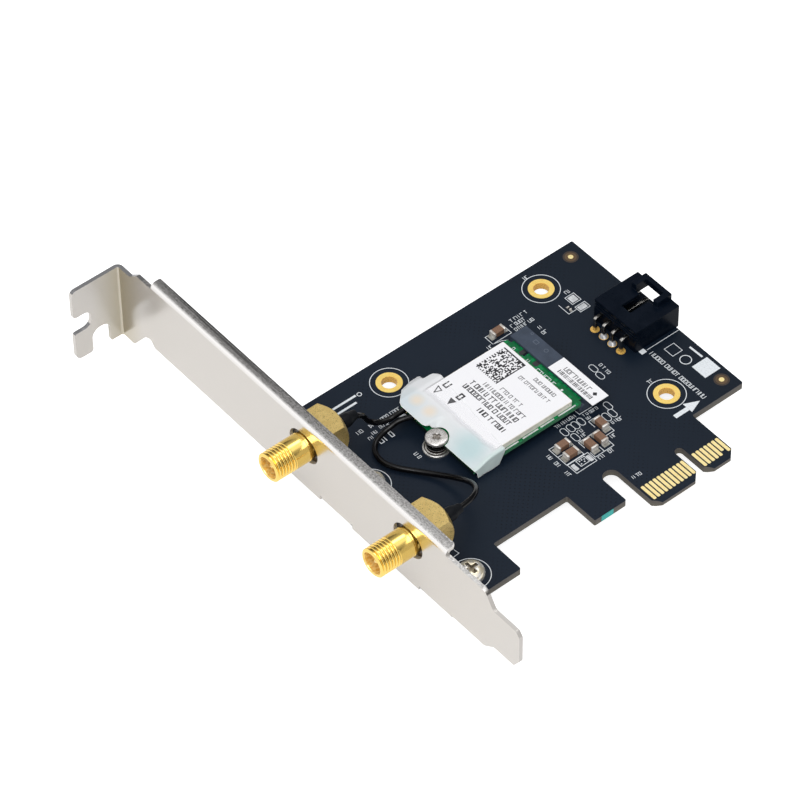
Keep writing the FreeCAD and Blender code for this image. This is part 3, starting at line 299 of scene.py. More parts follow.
def solder_mask():
    """Near black mask over a faint grid of filled holes, and layered laminate on the cut edges."""
    s = Surface("solder_mask", (0.007, 0.013, 0.024), roughness=0.42, Specular_IOR_Level=0.17)
    x, y, z = s.split(s.at)
    hole_pitch, ply_pitch, half_board, half_core = 1.3, 0.4, 0.8, 0.72
    mask = s.blend(s.mottle(0.05), (0.0044, 0.01, 0.0195), (0.007, 0.0132, 0.025))
    # Painted shade: the mask turns darker towards the rear of the card, from x -5 to 20
    mask = s.fade(x, -5, 20, mask, (0.003, 0.008, 0.016), 0.8)
    holes = s.times(s.wave(x, hole_pitch), s.wave(y, hole_pitch))
    patch = s.steps(s.mottle(0.09, 1), 0.45, 0.6)
    dimple = s.times(s.steps(holes, 0.55, 0.95), patch)
    mask = s.blend(s.times(dimple, 0.8), mask, (0.001, 0.003, 0.007))
    cut = s.fade(z, -0.95, -0.65, (0.128, 0.118, 0.094), (0.102, 0.092, 0.085))
    cut = s.fade(s.wave(z, ply_pitch), -1, 1, cut, (0.06, 0.045, 0.035), 0.25)
    cut = s.fade(s.mottle(2.2, stretch=(1, 1, 5)), 0.35, 0.65, cut, (0.16, 0.15, 0.13), 0.3)
    skin = s.over(s.gap(z, -half_board), half_core)
    cut = s.blend(skin, cut, (0.02, 0.024, 0.03))
    grit = s.mottle(6, 2)
    s.paint(
        Base_Color=s.blend(s.lies_flat(), cut, mask),
        Roughness=s.steps(grit, 0.3, 0.7, 0.36, 0.5),
    )
    s.emboss(s.calc("SUBTRACT", s.times(grit, 0.35), dimple), 0.012, 0.6)
    return s


def plated_gold(name, colour, roughness):
    """Matte gold plating: half of its colour is scattered by its grain."""
    s = Surface(name, colour, 0.4, roughness)
    s.paint(Base_Color=s.fade(s.mottle(0.6), 0.4, 0.65, colour, toned(colour, 0.97, 0.92, 0.82)))
    s.grain(s.mottle(5, 4), roughness, 0.8, 1.3, 0.003)
    return s


def turned_gold():
    """Bright plated brass with the rings of its turning tool, and satin flats behind the bracket; painted
    light in the bore and painted shade where the body meets the bracket.
    """
    colour, near_bore, near_bracket = (0.93, 0.66, 0.18), BORE_R + 0.12, 0.08
    s = Surface("turned_gold", colour, 1, 0.14)
    x = s.split(s.at)[0]
    behind = s.steps(x, BRACKET_BACK - 0.1, BRACKET_BACK + 0.1)
    # Painted shade: near black and not metallic where the body meets the bracket, seen through the bracket's
    # hole
    painted_gap_shade = s.under(s.gap(x, BRACKET_BACK), near_bracket)
    # Painted light: the walls of the bore are lighter and less metallic, as if lit from all sides
    apart = [s.away_from(0, *axis, plane=(0, 1, 1)) for axis in JACK_AXES]
    bore = s.under(s.calc("MINIMUM", *apart), near_bore)
    bore = s.times(bore, s.calc("SUBTRACT", 1, behind))
    shine = s.times(s.steps(bore, 0, 1, 1, 0.5), s.calc("SUBTRACT", 1, painted_gap_shade))
    shine = s.times(shine, s.steps(behind, 0, 1, 1, 0.7))
    painted_bore_light = s.fade(s.mottle(1.6, 2), 0.42, 0.6, (1, 0.79, 0.33), (0.8, 0.52, 0.13))
    flats = s.fade(s.mottle(1.1, 4, 0.6), 0.36, 0.66, (0.71, 0.53, 0.2), (0.62, 0.445, 0.155))
    shown = s.blend(behind, s.blend(bore, colour, painted_bore_light), flats)
    rings = s.mottle(1, 3, stretch=(9, 0.05, 0.05))
    grain = s.mottle(7, 4, stretch=(0.5, 1, 1))
    bright = s.steps(rings, 0.3, 0.7, 0.1, 0.18)
    satin = s.steps(grain, 0.3, 0.7, 0.24, 0.4)
    s.paint(
        Base_Color=s.blend(painted_gap_shade, shown, (0.02, 0.01, 0.004)),
        Metallic=shine,
        Roughness=s.mix(behind, bright, satin),
    )
    s.emboss(s.mix(behind, rings, grain), 0.006)
    return s


def bracket_steel():
    """Nickel plated sheet, satin on its face and coarsely brushed along its folded top."""
    s = Surface("bracket_steel", (0.8, 0.77, 0.74), 1, 0.3)
    x, y, z = s.split(s.at)
    across, _, up = s.split(s.normal)
    folded = s.over(z, BRACKET_HIGH.z - 1.6)
    top = s.times(s.steps(up, 0.72, 0.92), folded)
    # The face, with painted shade below the screw tab's fold and a painted highlight along the flange's fold
    face = s.blend(s.mottle(0.07), (0.615, 0.585, 0.548), (0.59, 0.566, 0.534))
    from_fold = s.away_from(BRACKET_FACE, BRACKET_HIGH.y - SHEET_T)
    face = s.fade(from_fold, 6.8, 0.5, face, (0.42, 0.365, 0.21), 0.44)
    painted_fold_highlight = s.times(s.steps(up, 0.02, 0.5), folded)
    face = s.blend(painted_fold_highlight, face, (0.85, 0.832, 0.812))
    # The flange, speckled and drawn out along Y, with a painted reflection that lightens it towards low Y
    speck = s.mottle(3.2, 5, 0.7, (1.1, 0.7, 1))
    mark = s.steps(speck, 0.38, 0.62)
    near = s.steps(y, 55, 12)
    dark = s.blend(near, (0.125, 0.12, 0.118), (0.27, 0.262, 0.258))
    light = s.blend(near, (0.44, 0.428, 0.422), (0.66, 0.647, 0.638))
    brushed = s.blend(mark, dark, light)
    drawn = s.steps(s.mottle(1, 2, stretch=(5.5, 0.02, 1)), 0.54, 0.6)
    drawn = s.times(drawn, s.steps(x, BRACKET_FACE + 1, BRACKET_FACE + 1.5))
    brushed = s.blend(s.times(drawn, 0.8), brushed, (0.05, 0.05, 0.05))
    foot = s.blend(mark, (0.5, 0.49, 0.48), (0.9, 0.89, 0.87))
    brushed = s.fade(y, 7, 6.4, brushed, foot)
    shown = s.blend(top, face, brushed)
    at_tab = s.times(s.over(up, FLAT_ON), s.over(y, 98))
    # Edges of the cut sheet are less bright than its face
    upright = s.under(s.gap(across, 0), FLAT_ON)
    cut_edge = s.times(upright, s.under(z, BRACKET_HIGH.z - 2.2))
    smooth = s.steps(s.mottle(3, 4), 0.3, 0.7, 0.19, 0.25)
    s.paint(
        Base_Color=s.blend(at_tab, shown, (0.2, 0.2, 0.205)),
        Metallic=s.steps(cut_edge, 0, 1, 1, 0.25),
        Roughness=s.mix(top, smooth, 0.3),
    )
    s.emboss(s.times(speck, s.mix(top, 0.02, 1)), 0.05)
    return s


def bright_steel(name, colour, roughness, stain=None, metallic=1, heads=(), head_top=0, recess_r=1):
    """Plated steel with faint stains and scratches, and painted shade in the recesses of screw heads."""
    s = Surface(name, colour, metallic, roughness)
    shown = s.fade(s.mottle(0.9), 0.42, 0.62, colour, stain or toned(colour, 0.82))
    # Painted shade: darker brown deep in each screw head's recess
    for head in heads:
        inside = s.under(s.away_from(*head), recess_r)
        deep = s.under(s.split(s.at)[2], head_top - 0.04)
        shown = s.blend(s.times(s.times(inside, deep), 0.65), shown, (0.075, 0.05, 0.022))
    s.paint(Base_Color=shown)
    s.grain(s.mottle(3, 4, stretch=(1, 6, 1)), roughness, 0.75, 1.35, 0.006)
    return s


def standoff_steel():
    """Turned nut under the module: bright flange and rim, with painted shade in a ring on the flange and in
    two dark bands up its side.
    """
    s = Surface("standoff_steel", (0.7, 0.69, 0.68), 0.8, 0.25)
    z = s.split(s.at)[2]
    scratch = s.mottle(2.5, 4, stretch=(1, 1, 6))
    shown = s.fade(scratch, 0.35, 0.65, (0.8, 0.79, 0.77), (0.55, 0.54, 0.52))
    # Painted shade: a dark ring on the flange, then a dark brown band and a near black band under the
    # module's board
    from_groove = s.gap(s.away_from(*MODULE_SCREW), 2.32)
    shown = s.fade(from_groove, 0.16, 0.08, shown, (0.09, 0.075, 0.06))
    for low, high, colour in ((0.55, 1.05, (0.05, 0.04, 0.03)), (1.25, 2.6, (0.006,) * 3)):
        band = s.times(s.steps(z, low - 0.06, low), s.steps(z, high + 0.06, high))
        shown = s.blend(band, shown, colour)
    s.paint(Base_Color=shown)
    s.emboss(scratch, 0.008)
    return s


def moulded(name, colour, roughness, scale=4, depth_mm=0.01, **sockets):
    """Moulded or painted plastic: a fine grain, and a slightly uneven colour and gloss."""
    s = Surface(name, colour, roughness=roughness, **sockets)
    light = tuple(min(1, c * 1.25 + 0.002) for c in colour)
    s.paint(Base_Color=s.fade(s.mottle(0.35), 0.35, 0.65, colour, light))
    s.grain(s.mottle(scale, 4), roughness, 0.85, 1.2, depth_mm)
    return s


def shrink_rubber():
    """Heat shrunk tube: dull black with long soft wrinkles."""
    s = Surface("shrink_rubber", (0.004, 0.005, 0.007), Specular_IOR_Level=0.14)
    s.paint(Roughness=s.steps(s.mottle(8, 2), 0.3, 0.7, 0.42, 0.6))
    s.emboss(s.mottle(1, 2, stretch=(0.4, 1.4, 1.4)), 0.12)
    return s


def cable_jacket():
    """Glossy black jacket that shows its braid as a faint ripple."""
    s = Surface("cable_jacket", (0.0012, 0.0012, 0.0018), roughness=0.14, Specular_IOR_Level=0.24)
    ripple = s.mottle(4.5, 2)
    s.paint(Roughness=s.steps(ripple, 0.35, 0.65, 0.07, 0.2))
    s.emboss(ripple, 0.02)
    return s


def green_mask():
    """Glossy green mask with faint tracks on the module's board, paler cut edges, and painted shade on the
    cut edge at its free end.
    """
    s = Surface("green_mask", (0, 0.2, 0.06), roughness=0.24, Specular_IOR_Level=0.28)
    inputs = {"Vector": s.at, "Scale": 0.9}
    cells = s.add("TexVoronoi", inputs, distance="CHEBYCHEV", feature="F1").outputs["Distance"]
    tracks = s.steps(cells, 0.3, 0.34)
    top = s.blend(tracks, (0, 0.205, 0.058), (0, 0.125, 0.036))
    side = s.blend(s.mottle(2), (0.022, 0.145, 0.07), (0.085, 0.23, 0.125))
    # Painted shade: the cut edge at the module's free end, under the film's edge, is near black
    painted_shade_end = s.under(s.split(s.at)[0], MODULE_LOW.x + 0.05)
    side = s.blend(painted_shade_end, side, (0.006, 0.014, 0.01))
    s.paint(Base_Color=s.blend(s.lies_flat(), side, top))
    s.emboss(tracks, 0.02, 0.5)
    return s


def milky_film():
    """Tape that is clear where it lies on the label, and milky where air is under it."""
    s = Surface("milky_film", (0.84, 0.87, 0.88), roughness=0.28)
    x, y, _ = s.split(s.at)
    cloud = s.mottle(0.16, 2)
    tint = s.fade(cloud, 0.42, 0.62, (0.835, 0.86, 0.87), (0.785, 0.835, 0.85))
    tint = s.fade(x, LABEL_LOW.x - 1.2, LABEL_LOW.x, tint, (0.9, 0.905, 0.92), 0.8)
    # Painted light: warm spots where the gold plugs show through the film; also two bluish patches
    for spot, far, near, share, colour in (
        ((-32.3, 31.5), 5.5, 1.5, 1, (0.6, 0.76, 0.78)),
        ((-34.6, 47.6), 4.5, 1, 0.8, (0.7, 0.79, 0.835)),
        *(((px - 0.2, py - 0.1), 1.9, 0.5, 0.75, (0.93, 0.8, 0.64)) for px, py in PLUGS),
    ):
        tint = s.fade(s.away_from(*spot), far, near, tint, colour, share)
    ragged = s.calc("ADD", x, s.times(cloud, 1.6))
    lapped = s.steps(ragged, LABEL_LOW.x + 0.6, LABEL_LOW.x + 2.2)
    middle, half = (LABEL_LOW.y + LABEL_HIGH.y) / 2, (LABEL_HIGH.y - LABEL_LOW.y) / 2
    lapped = s.times(lapped, s.steps(s.gap(y, middle), half - 0.1, half + 0.35, 1, 0))
    tint = s.blend(lapped, tint, (0.95, 0.95, 0.97))
    tint = s.fade(y, LABEL_LOW.y, LABEL_LOW.y - 0.8, tint, (0.7, 0.82, 0.8))
    s.paint(Base_Color=tint, Alpha=s.steps(lapped, 0, 1, 0.86, 0.04))
    s.emboss(s.mottle(2.4, 3), 0.012)
    return s


def dry(name, colour, roughness, dull, low, high, scale, detail, depth_mm, stretch=None):
    """Paper, ink or ceramic: duller patches that stand out a little."""
    s = Surface(name, colour, roughness=roughness)
    patches = s.mottle(scale, detail, stretch=stretch)
    s.paint(Base_Color=s.fade(patches, low, high, colour, toned(colour, dull)))
    s.emboss(patches, depth_mm)
    return s


PAPER = (0.45, 0.95, 0.4, 0.6, 5, 4, 0.006, (3, 1, 1))
INK = (0.55, 0.8, 0.45, 0.7, 3.5, 3, 0.004)
CERAMIC = (0.55, 0.7, 0.4, 0.62, 5, 4, 0.02)

# Screw heads: their places, their top and how far their recess reaches
RECESSES = (SCREW_HOLES, span("bracket_screws")[1].z, 1.6)
MODULE_RECESS = ((MODULE_SCREW,), span("module_screw")[1].z, 1.1)

# Each look's material, and the CAD nodes that wear it
LOOKS = {
    "mask": (solder_mask(), "circuit_board"),
    "gold": (
        plated_gold("contact_gold", (0.99, 0.83, 0.4), 0.32),
        "fiducial_dots", "module_receptacles", "module_edge_contacts", "coax_plug_1", "coax_plug_2",
    ),
    "ring": (plated_gold("ring_gold", (0.99, 0.72, 0.2), 0.32), "hole_rings"),
    "pad": (plated_gold("pad_gold", (0.9, 0.56, 0.14), 0.28), "header_pads"),
    "turned": (turned_gold(), "jack_pin_1", "jack_pin_2"),
    "steel": (bracket_steel(), "bracket"),
    "screw": (
        bright_steel("screw_steel", (0.97, 0.95, 0.9), 0.22, (0.86, 0.77, 0.56), 0.7, *RECESSES),
        "bracket_screws",
    ),
    "nickel": (
        bright_steel("nickel", (0.7, 0.68, 0.665), 0.26, (0.54, 0.52, 0.49), 0.7, *MODULE_RECESS),
        "module_screw",
    ),
    "standoff": (standoff_steel(), "module_standoff"),
    "tin": (bright_steel("tin", (0.84, 0.83, 0.81), 0.26), "socket_contacts"),
    # Painted shade: a darker copy of tin on the header pins
    "pin": (bright_steel("pin_tin", (0.46, 0.45, 0.43), 0.2, (0.22, 0.21, 0.2)), "header_pins"),
    "tinned": (
        bright_steel("tinned_end", (0.8, 0.77, 0.73), 0.3, (0.56, 0.51, 0.46), 0.45),
        "capacitor_ends", "resistor_ends",
    ),
    "bare_land": (bright_steel("bare_land", (0.74, 0.76, 0.78), 0.3, (0.56, 0.58, 0.6), 0.4),),
    "rim": (moulded("film_rim", (0.9, 0.92, 0.92), 0.3),),
    "solder": (bright_steel("solder", (0.92, 0.93, 0.95), 0.22, (0.8, 0.81, 0.84), 0.6), "header_solder"),
    "land": (bright_steel("tinned_pad", (0.42, 0.42, 0.39), 0.32, (0.3, 0.29, 0.26), 0.5), "solder_pads"),
    "can": (moulded("can_metal", (0.74, 0.71, 0.63), 0.34, 5, 0.008, Metallic=0.3), "module_shield"),
    "insulator": (moulded("fluoroplastic", (0.78, 0.6, 0.28), 0.35), "jack_insulator_1", "jack_insulator_2"),
    "sleeve": (shrink_rubber(),),
    "cable": (cable_jacket(),),
    "green": (green_mask(), "module_board"),
    "label": (dry("label_paper", (0.93, 0.93, 0.95), *PAPER), "module_label", "socket_label"),
    "socket": (
        moulded("socket_plastic", (0.034, 0.047, 0.072), 0.45, 2, 0.03, Specular_IOR_Level=0.35),
        "module_socket",
    ),
    "film": (milky_film(),),
    "header": (
        moulded("header_plastic", (0.0012, 0.0035, 0.0085), 0.3, 3, 0.012, Specular_IOR_Level=0.05),
        "header_shroud",
    ),
    "socket_mark": (moulded("socket_mark", (0.075, 0.095, 0.13), 0.5),),
    "white_ink": (dry("white_ink", (0.8, 0.84, 0.87), *INK),),
    "black_ink": (dry("black_ink", (0.018, 0.018, 0.022), *INK),),
    "laminate": (moulded("bare_laminate", (0.085, 0.05, 0.022), 0.5),),
    "laminate_rim": (moulded("covered_laminate", (0.03, 0.019, 0.012), 0.5),),
    "teal": (moulded("teal_paint", (0, 0.33, 0.3), 0.4),),
    "brown": (dry("capacitor_ceramic", (0.23, 0.125, 0.075), *CERAMIC), "capacitor_bodies"),
    "black": (dry("resistor_film", (0.02, 0.02, 0.02), *CERAMIC), "resistor_body"),
}

# CAD nodes whose small edges are rounded, and by how much
SOFT_EDGES = {
    "bracket": 0.1, "header_shroud": 0.12, "module_socket": 0.08, "module_shield": 0.1,
    "bracket_screws": 0.1, "module_screw": 0.06, "module_standoff": 0.05,
    "capacitor_bodies": 0.05, "capacitor_ends": 0.08, "header_pins": 0.08,
}


# Mesh helpers


def dress(obj, look):
    obj.data.materials.clear()
    obj.data.materials.append(LOOKS[look][0].material)


def linked(name, data):
    obj = bpy.data.objects.new(name, data)
    bpy.context.scene.collection.objects.link(obj)
    return obj


def mesh_of(name, verts, faces):
    """A mesh from points in millimetres."""
    mesh = bpy.data.meshes.new(name)
    mesh.from_pydata([Vector(v) * MM for v in verts], [], faces)
    mesh.validate()
    return mesh


def baked(name, made):
    """A mesh from a bmesh, which is used up."""
    mesh = bpy.data.meshes.new(name)
    made.to_mesh(mesh)
    made.free()
    return mesh


def modify(obj, kind, **settings):
    modifier = obj.modifiers.new(kind.lower(), kind)
    for name, value in settings.items():
        setattr(modifier, name, value)


def bevel(obj, width, segments, angle, **more):
    more.update(segments=segments, limit_method="ANGLE", angle_limit=radians(angle))
    modify(obj, "BEVEL", width=width * MM, **more)


def smooth(mesh, creased=False):
    for face in mesh.polygons:
        face.use_smooth = True
    if creased:
        mesh.set_sharp_from_angle(angle=radians(35))


def piece(name, data, look):
    """A dressed object of its own, which rides on the root."""
    obj = linked(name, data)
    dress(obj, look)
    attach(obj, "root")
    return obj


def wired(name, kind, points, radius, facets):
    """A round wire along points in metres, and its spline."""
    data = bpy.data.curves.new(name, "CURVE")
    data.dimensions = "3D"
    spline = data.splines.new(kind)
    spline.points.add(len(points) - 1)
    for point, spot in zip(spline.points, points):
        point.co = (*spot, 1)
    data.bevel_depth = radius * MM
    data.bevel_resolution = facets
    return data, spline


def arc(x, y, radius, start, end, count):
    """Points on an arc, from one angle in degrees to another in that many steps."""
    turns = [radians(start + (end - start) * i / count) for i in range(count + 1)]
    return [(x + radius * cos(t), y + radius * sin(t)) for t in turns]


def circle(x, y, radius, count):
    return arc(x, y, radius, 0, 360, count)[:-1]


def rounded_bar(x0, y0, x1, y1, radius):
    """Outline of a bar with rounded corners, counterclockwise."""
    left, right, low, high = x0 + radius, x1 - radius, y0 + radius, y1 - radius
    points = []
    for x, y, start in ((right, low, -90), (right, high, 0), (left, high, 90), (left, low, 180)):
        points += arc(x, y, radius, start, start + 90, 4)
    return points


class Sheets:
    """Flat shapes of one print or plating, each a thin closed prism of a slightly different height."""

    LAYERS, SPREAD = 9, 0.4

    def __init__(self, low, high):
        self.low, self.high, self.count = low, high, 0
        self.verts, self.faces = [], []

    def top(self):
        self.count += 1
        return self.high - (self.high - self.low) * self.SPREAD * (self.count % self.LAYERS) / self.LAYERS

    def shape(self, outline):
        """A filled outline of (x, y) points, counterclockwise."""
        n, start, high = len(outline), len(self.verts), self.top()
        self.verts += [(x, y, z) for z in (self.low, high) for x, y in outline]
        self.faces.append([start + i for i in reversed(range(n))])
        self.faces.append([start + n + i for i in range(n)])
        for i in range(n):
            j = (i + 1) % n
            self.faces.append([start + i, start + j, start + n + j, start + n + i])

    def band(self, inner, outer):
        """A closed band between two outlines with as many points."""
        n, start = len(inner), len(self.verts)
        for z in (self.low, self.top()):
            self.verts += [(x, y, z) for x, y in inner + outer]
        for i in range(n):
            j = (i + 1) % n
            a, b, c, d = start + i, start + j, start + n + j, start + n + i
            top = 2 * n
            self.faces += [[a, b, c, d], [d + top, c + top, b + top, a + top]]
            self.faces += [[b, a, a + top, b + top], [d, c, c + top, d + top]]

    def ring(self, x, y, radius, width, count=64):
        self.band(circle(x, y, radius - width / 2, count), circle(x, y, radius + width / 2, count))

    def disc(self, x, y, radius, count=24):
        self.shape(circle(x, y, radius, count))

    def bar(self, x0, y0, x1, y1):
        self.shape([(x0, y0), (x1, y0), (x1, y1), (x0, y1)])

    def line(self, points, width):
        """Straight strokes from point to point."""
        for a, b in zip(points, points[1:]):
            a, b = Vector(a), Vector(b)
            along = (b - a).normalized()
            side, reach = Vector((-along.y, along.x)) * width / 2, along * width / 2
            a, b = a - reach, b + reach
            self.shape([a - side, b - side, b + side, a + side])

    def box_line(self, x0, y0, x1, y1, width):
        self.line([(x0, y0), (x1, y0), (x1, y1), (x0, y1), (x0, y0)], width)

    def stadium(self, x, y0, y1, width, line):
        """An outline with round ends, long along Y."""
        r = width / 2
        low, high = min(y0, y1) + r, max(y0, y1) - r
        self.band(*(
            arc(x, high, reach, 0, 180, 8) + arc(x, low, reach, 180, 360, 8)
            for reach in (r - line / 2, r + line / 2)
        ))

    def strokes(self, start, end, height, rng, bold=0.14):
        """A row of plain marks from start to end, in place of words: frames, bars and hooks."""
        start, end = Vector(start), Vector(end)
        along = (end - start).normalized()
        across = Vector((-along.y, along.x))
        reach, at = (end - start).length, 0
        while at < reach:
            wide = height * rng.choice((0.5, 0.6, 0.65))
            if at + wide > reach + 0.2 * height:
                break
            a = start + along * at - across * height / 2
            b, d = a + along * wide, a + across * height
            c, middle = b + across * height, (a + b) / 2
            frame, bars, hook = [[a, b, c, d, a]], [[a, d], [b, c]], [[a, d, c]]
            stem, cup = [[middle, middle + across * height], [d, c]], [[d, a, b, c]]
            for mark in (frame, frame, bars, hook, stem, cup)[rng.randrange(6)]:
                self.line(mark, bold * height)
            at += wide + height * rng.choice((0.22, 0.26, 0.3, 0.75))

    def made(self, name, look, slot):
        return piece(name, mesh_of(name, self.verts, self.faces), look)


def soften(obj, width):
    """Small rounded edges on a CAD node, and smooth round faces."""
    modify(obj, "WELD", merge_threshold=0.002 * MM)
    bevel(obj, width, 2, 30)
    modify(obj, "WEIGHTED_NORMAL", keep_sharp=True)
    smooth(obj.data)


# Camera, light and floor


def camera():
    data = bpy.data.cameras.new("camera")
    data.lens = CAMERA_LENS
    data.sensor_width = CAMERA_SENSOR
    data.clip_end = CAMERA_FAR
    obj = linked("camera", data)
    right = Vector(CAMERA_RIGHT).normalized()
    up = Vector(CAMERA_UP).normalized()
    back = right.cross(up).normalized()
    up = back.cross(right)
    turn = Matrix((right, up, back)).transposed().to_4x4()
    obj.matrix_world = Matrix.Translation(CAMERA_EYE) @ turn
    bpy.context.scene.camera = obj


def lamp():
    data = bpy.data.lights.new("key", "AREA")
    data.size = 0.5
    data.energy = 3.6
    obj = linked("key", data)
    obj.location, towards = LAMP_AT, Vector(LAMP_TOWARDS) - Vector(LAMP_AT)
    obj.rotation_euler = towards.to_track_quat("-Z", "Y").to_euler()


def studio():
    """A pale world that is darker in front and above, so that metal has something to show."""
    world = bpy.data.worlds.new("studio")
    bpy.context.scene.world = world
    world.use_nodes = True
    s = Nodes(world.node_tree)
    ray = s.add("LightPath").outputs
    way = s.add("TexCoord").outputs["Generated"]
    x, _, z = s.split(way)
    heights = s.add("ValToRGB", {0: s.steps(z, -0.1, 1)})
    stops = heights.color_ramp.elements
    stops[0].color, stops[1].color = (1, 1, 1, 1), (1.3, 1.3, 1.3, 1)
    for position, grey in ((0.13, 0.9), (0.22, 0.1), (0.5, 0.12), (0.68, 0.42), (0.8, 0.5), (0.88, 1.3)):
        stops.new(position).color = (grey, grey, grey, 1)
    lit = s.add("SeparateColor", {0: heights.outputs[0]}).outputs[0]
    # A bright wall at the left for the bracket's fold, and two windows for upright edges
    lit = s.calc("MAXIMUM", lit, s.steps(x, -0.12, -0.45, 0, 1.15))
    for middle, rim, core, bright in (
        ((0.43, -0.35, 0.83), 0.955, 0.985, 0.7),
        ((0.43, 0.21, 0.88), 0.978, 0.993, 3.6),
    ):
        facing = s.vector("DOT_PRODUCT", way, middle)["Value"]
        lit = s.calc("MAXIMUM", lit, s.steps(facing, rim, core, 0, bright))
    mirrored = s.add("CombineColor", {0: lit, 1: lit, 2: lit}).outputs[0]
    shown = s.blend(ray["Is Glossy Ray"], (0.62, 0.62, 0.63), mirrored)
    shown = s.blend(ray["Is Camera Ray"], shown, (1, 1, 1))
    s.put(s.tree.nodes["Background"], 0, shown)


def floor():
    """White to the camera and in reflections, and it keeps the card's soft shadow."""
    gap, half = 0.05, 3000
    z = CAD_BOX[0][2] / MM - gap
    corners = [(-half, -half, z), (half, -half, z), (half, half, z), (-half, half, z)]
    obj = linked("floor", mesh_of("floor", corners, [(0, 1, 2, 3)]))
    material = bpy.data.materials.new("floor")
    material.use_nodes = True
    s = Nodes(material.node_tree)
    s.tree.nodes.remove(s.tree.nodes["Principled BSDF"])
    ray = s.add("LightPath").outputs
    mirrored = s.times(s.calc("MAXIMUM", ray["Is Glossy Ray"], ray["Is Transmission Ray"]), 0.4)
    seen = s.calc("MAXIMUM", s.times(ray["Is Camera Ray"], 0.82), mirrored)
    matte = s.add("BsdfDiffuse", {0: (0.72, 0.72, 0.72, 1)})
    glow = s.add("Emission", {0: (1, 1, 1, 1), 1: seen})
    both = s.add("AddShader", {0: matte.outputs[0], 1: glow.outputs[0]})
    s.put(s.tree.nodes["Material Output"], "Surface", both.outputs[0])
    obj.data.materials.append(material)


# Cables


def cable(number, route):
    """One antenna lead, a smooth curve that repeats the route's points."""
    points = [Vector(spot) * MM for spot in route]
    data, spline = wired(f"cable_{number}", "NURBS", points, CABLE_DIAMETER / 2, 6)
    spline.order_u = 3
    spline.use_endpoint_u = True
    spline.resolution_u = 16
    data.use_fill_caps = True
    obj = piece(f"cable_{number}", data, "cable")
    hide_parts(f"coax_cable_{number}")


# Antenna sockets


def shell(name, profiles, axis):
    """A closed mesh about a socket's axis, from one loop of (x, radius) points at each turn."""
    y, z = axis
    made = bmesh.new()
    columns = []
    for i, profile in enumerate(profiles):
        t = 2 * pi * i / (len(profiles) - 1)
        spots = [(x, y + r * sin(t), z + r * cos(t)) for x, r in profile]
        columns.append([made.verts.new(Vector(spot) * MM) for spot in spots])
    for a, b in zip(columns, columns[1:]):
        for k in range(len(a)):
            m = (k + 1) % len(a)
            made.faces.new((a[k], b[k], b[m], a[m]))
    bmesh.ops.remove_doubles(made, verts=made.verts, dist=0.0005 * MM)
    return baked(name, made)


def turned(name, profiles, axis, look):
    mesh = shell(name, profiles, axis)
    smooth(mesh, True)
    return piece(name, mesh, look)


def thread(turn):
    """Points (distance from the front, radius) along a helical thread, at a share of a turn."""
    run_out = 0.5 * THREAD_PITCH
    points = []
    for lap in range(-1, int((THREAD_END - THREAD_START) / THREAD_PITCH) + 1):
        for phase, depth in ((0, 0), (0.16, 0), (0.2, 0.06), (0.42, 1), (0.58, 1), (0.8, 0.06), (0.84, 0)):
            along = THREAD_START + (lap + phase + turn) * THREAD_PITCH
            along = min(THREAD_END, max(THREAD_START, along))
            fade = min(1, (along - THREAD_START) / run_out, (THREAD_END - along) / run_out)
            points.append((along, BARREL_R - (BARREL_R - THREAD_ROOT) * depth * fade))
    return points


def jack(number, axis):
    """Antenna socket: true helical thread, smooth shank, square body, ferrule and shrunk sleeve."""
    y, z = axis
    front, neck = JACK_FRONT, BRACKET_FACE - 0.15
    groove, neck_r, back_r, columns, around = BARREL_R - 0.12, 2.93, 2.95, 96, 49
    lip = [(2.2, BORE_R), (0.25, BORE_R), (0.1, BORE_R + 0.06), (0, BORE_R + 0.16)]
    lip += [(0, THREAD_ROOT - 0.06), (0.02, THREAD_ROOT), (0.25, BARREL_R)]
    rim = [(-0.72, BARREL_R), (-0.64, BARREL_R), (-0.58, groove), (-0.46, groove)]
    rim += [(-0.4, BARREL_R), (-0.06, BARREL_R), (0, BARREL_R - 0.08), (0.02, neck_r)]
    rear = [(neck + along, r) for along, r in rim]
    rear += [(BRACKET_BACK + 0.01, back_r), (BRACKET_BACK + 0.01, BORE_R)]
    profiles = []
    for i in range(columns + 1):
        profiles.append([(front + along, r) for along, r in lip + thread(i / columns)] + rear)
    barrel = turned(f"antenna_jack_{number}_barrel", profiles, axis, "turned")
    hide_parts(f"antenna_jack_{number}")
    body(number, axis)
    start, end = BODY_END - 0.1, BODY_END + FERRULE_LENGTH
    ferrule = [(start, 0.7), (end, 0.7), (end, 1.06), (end - 0.06, 1.12), (start, 1.12)]
    turned(f"antenna_jack_{number}_ferrule", [ferrule] * around, axis, "turned")
    outside = [(0, 1.4), (0.2, 1.5), (1.7, 1.5), (2.7, 1.46)]
    outside += [(3.1, 1.32), (3.6, 1.14), (4.3, 1.02), (4.7, 0.97)]
    inside = [(4.74, 0.9), (4.72, 0.66), (3.4, 0.7), (2.95, 1.14), (0, 1.14)]
    profile = [(BODY_END + a, r) for a, r in outside + inside]
    sleeve = turned(f"cable_sleeve_{number}_shrunk", [profile] * around, axis, "sleeve")
    wrinkled_from, wrinkle = 0.95, 0.12
    for vert in sleeve.data.vertices:
        at = vert.co / MM
        away = Vector((0, at.y - y, at.z - z))
        if away.length > wrinkled_from:
            swell = noise.noise(at * 0.9 + Vector((number * 7, 0, 0)))
            vert.co += away.normalized() * min(0, swell) * wrinkle * MM
    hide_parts(f"cable_sleeve_{number}")


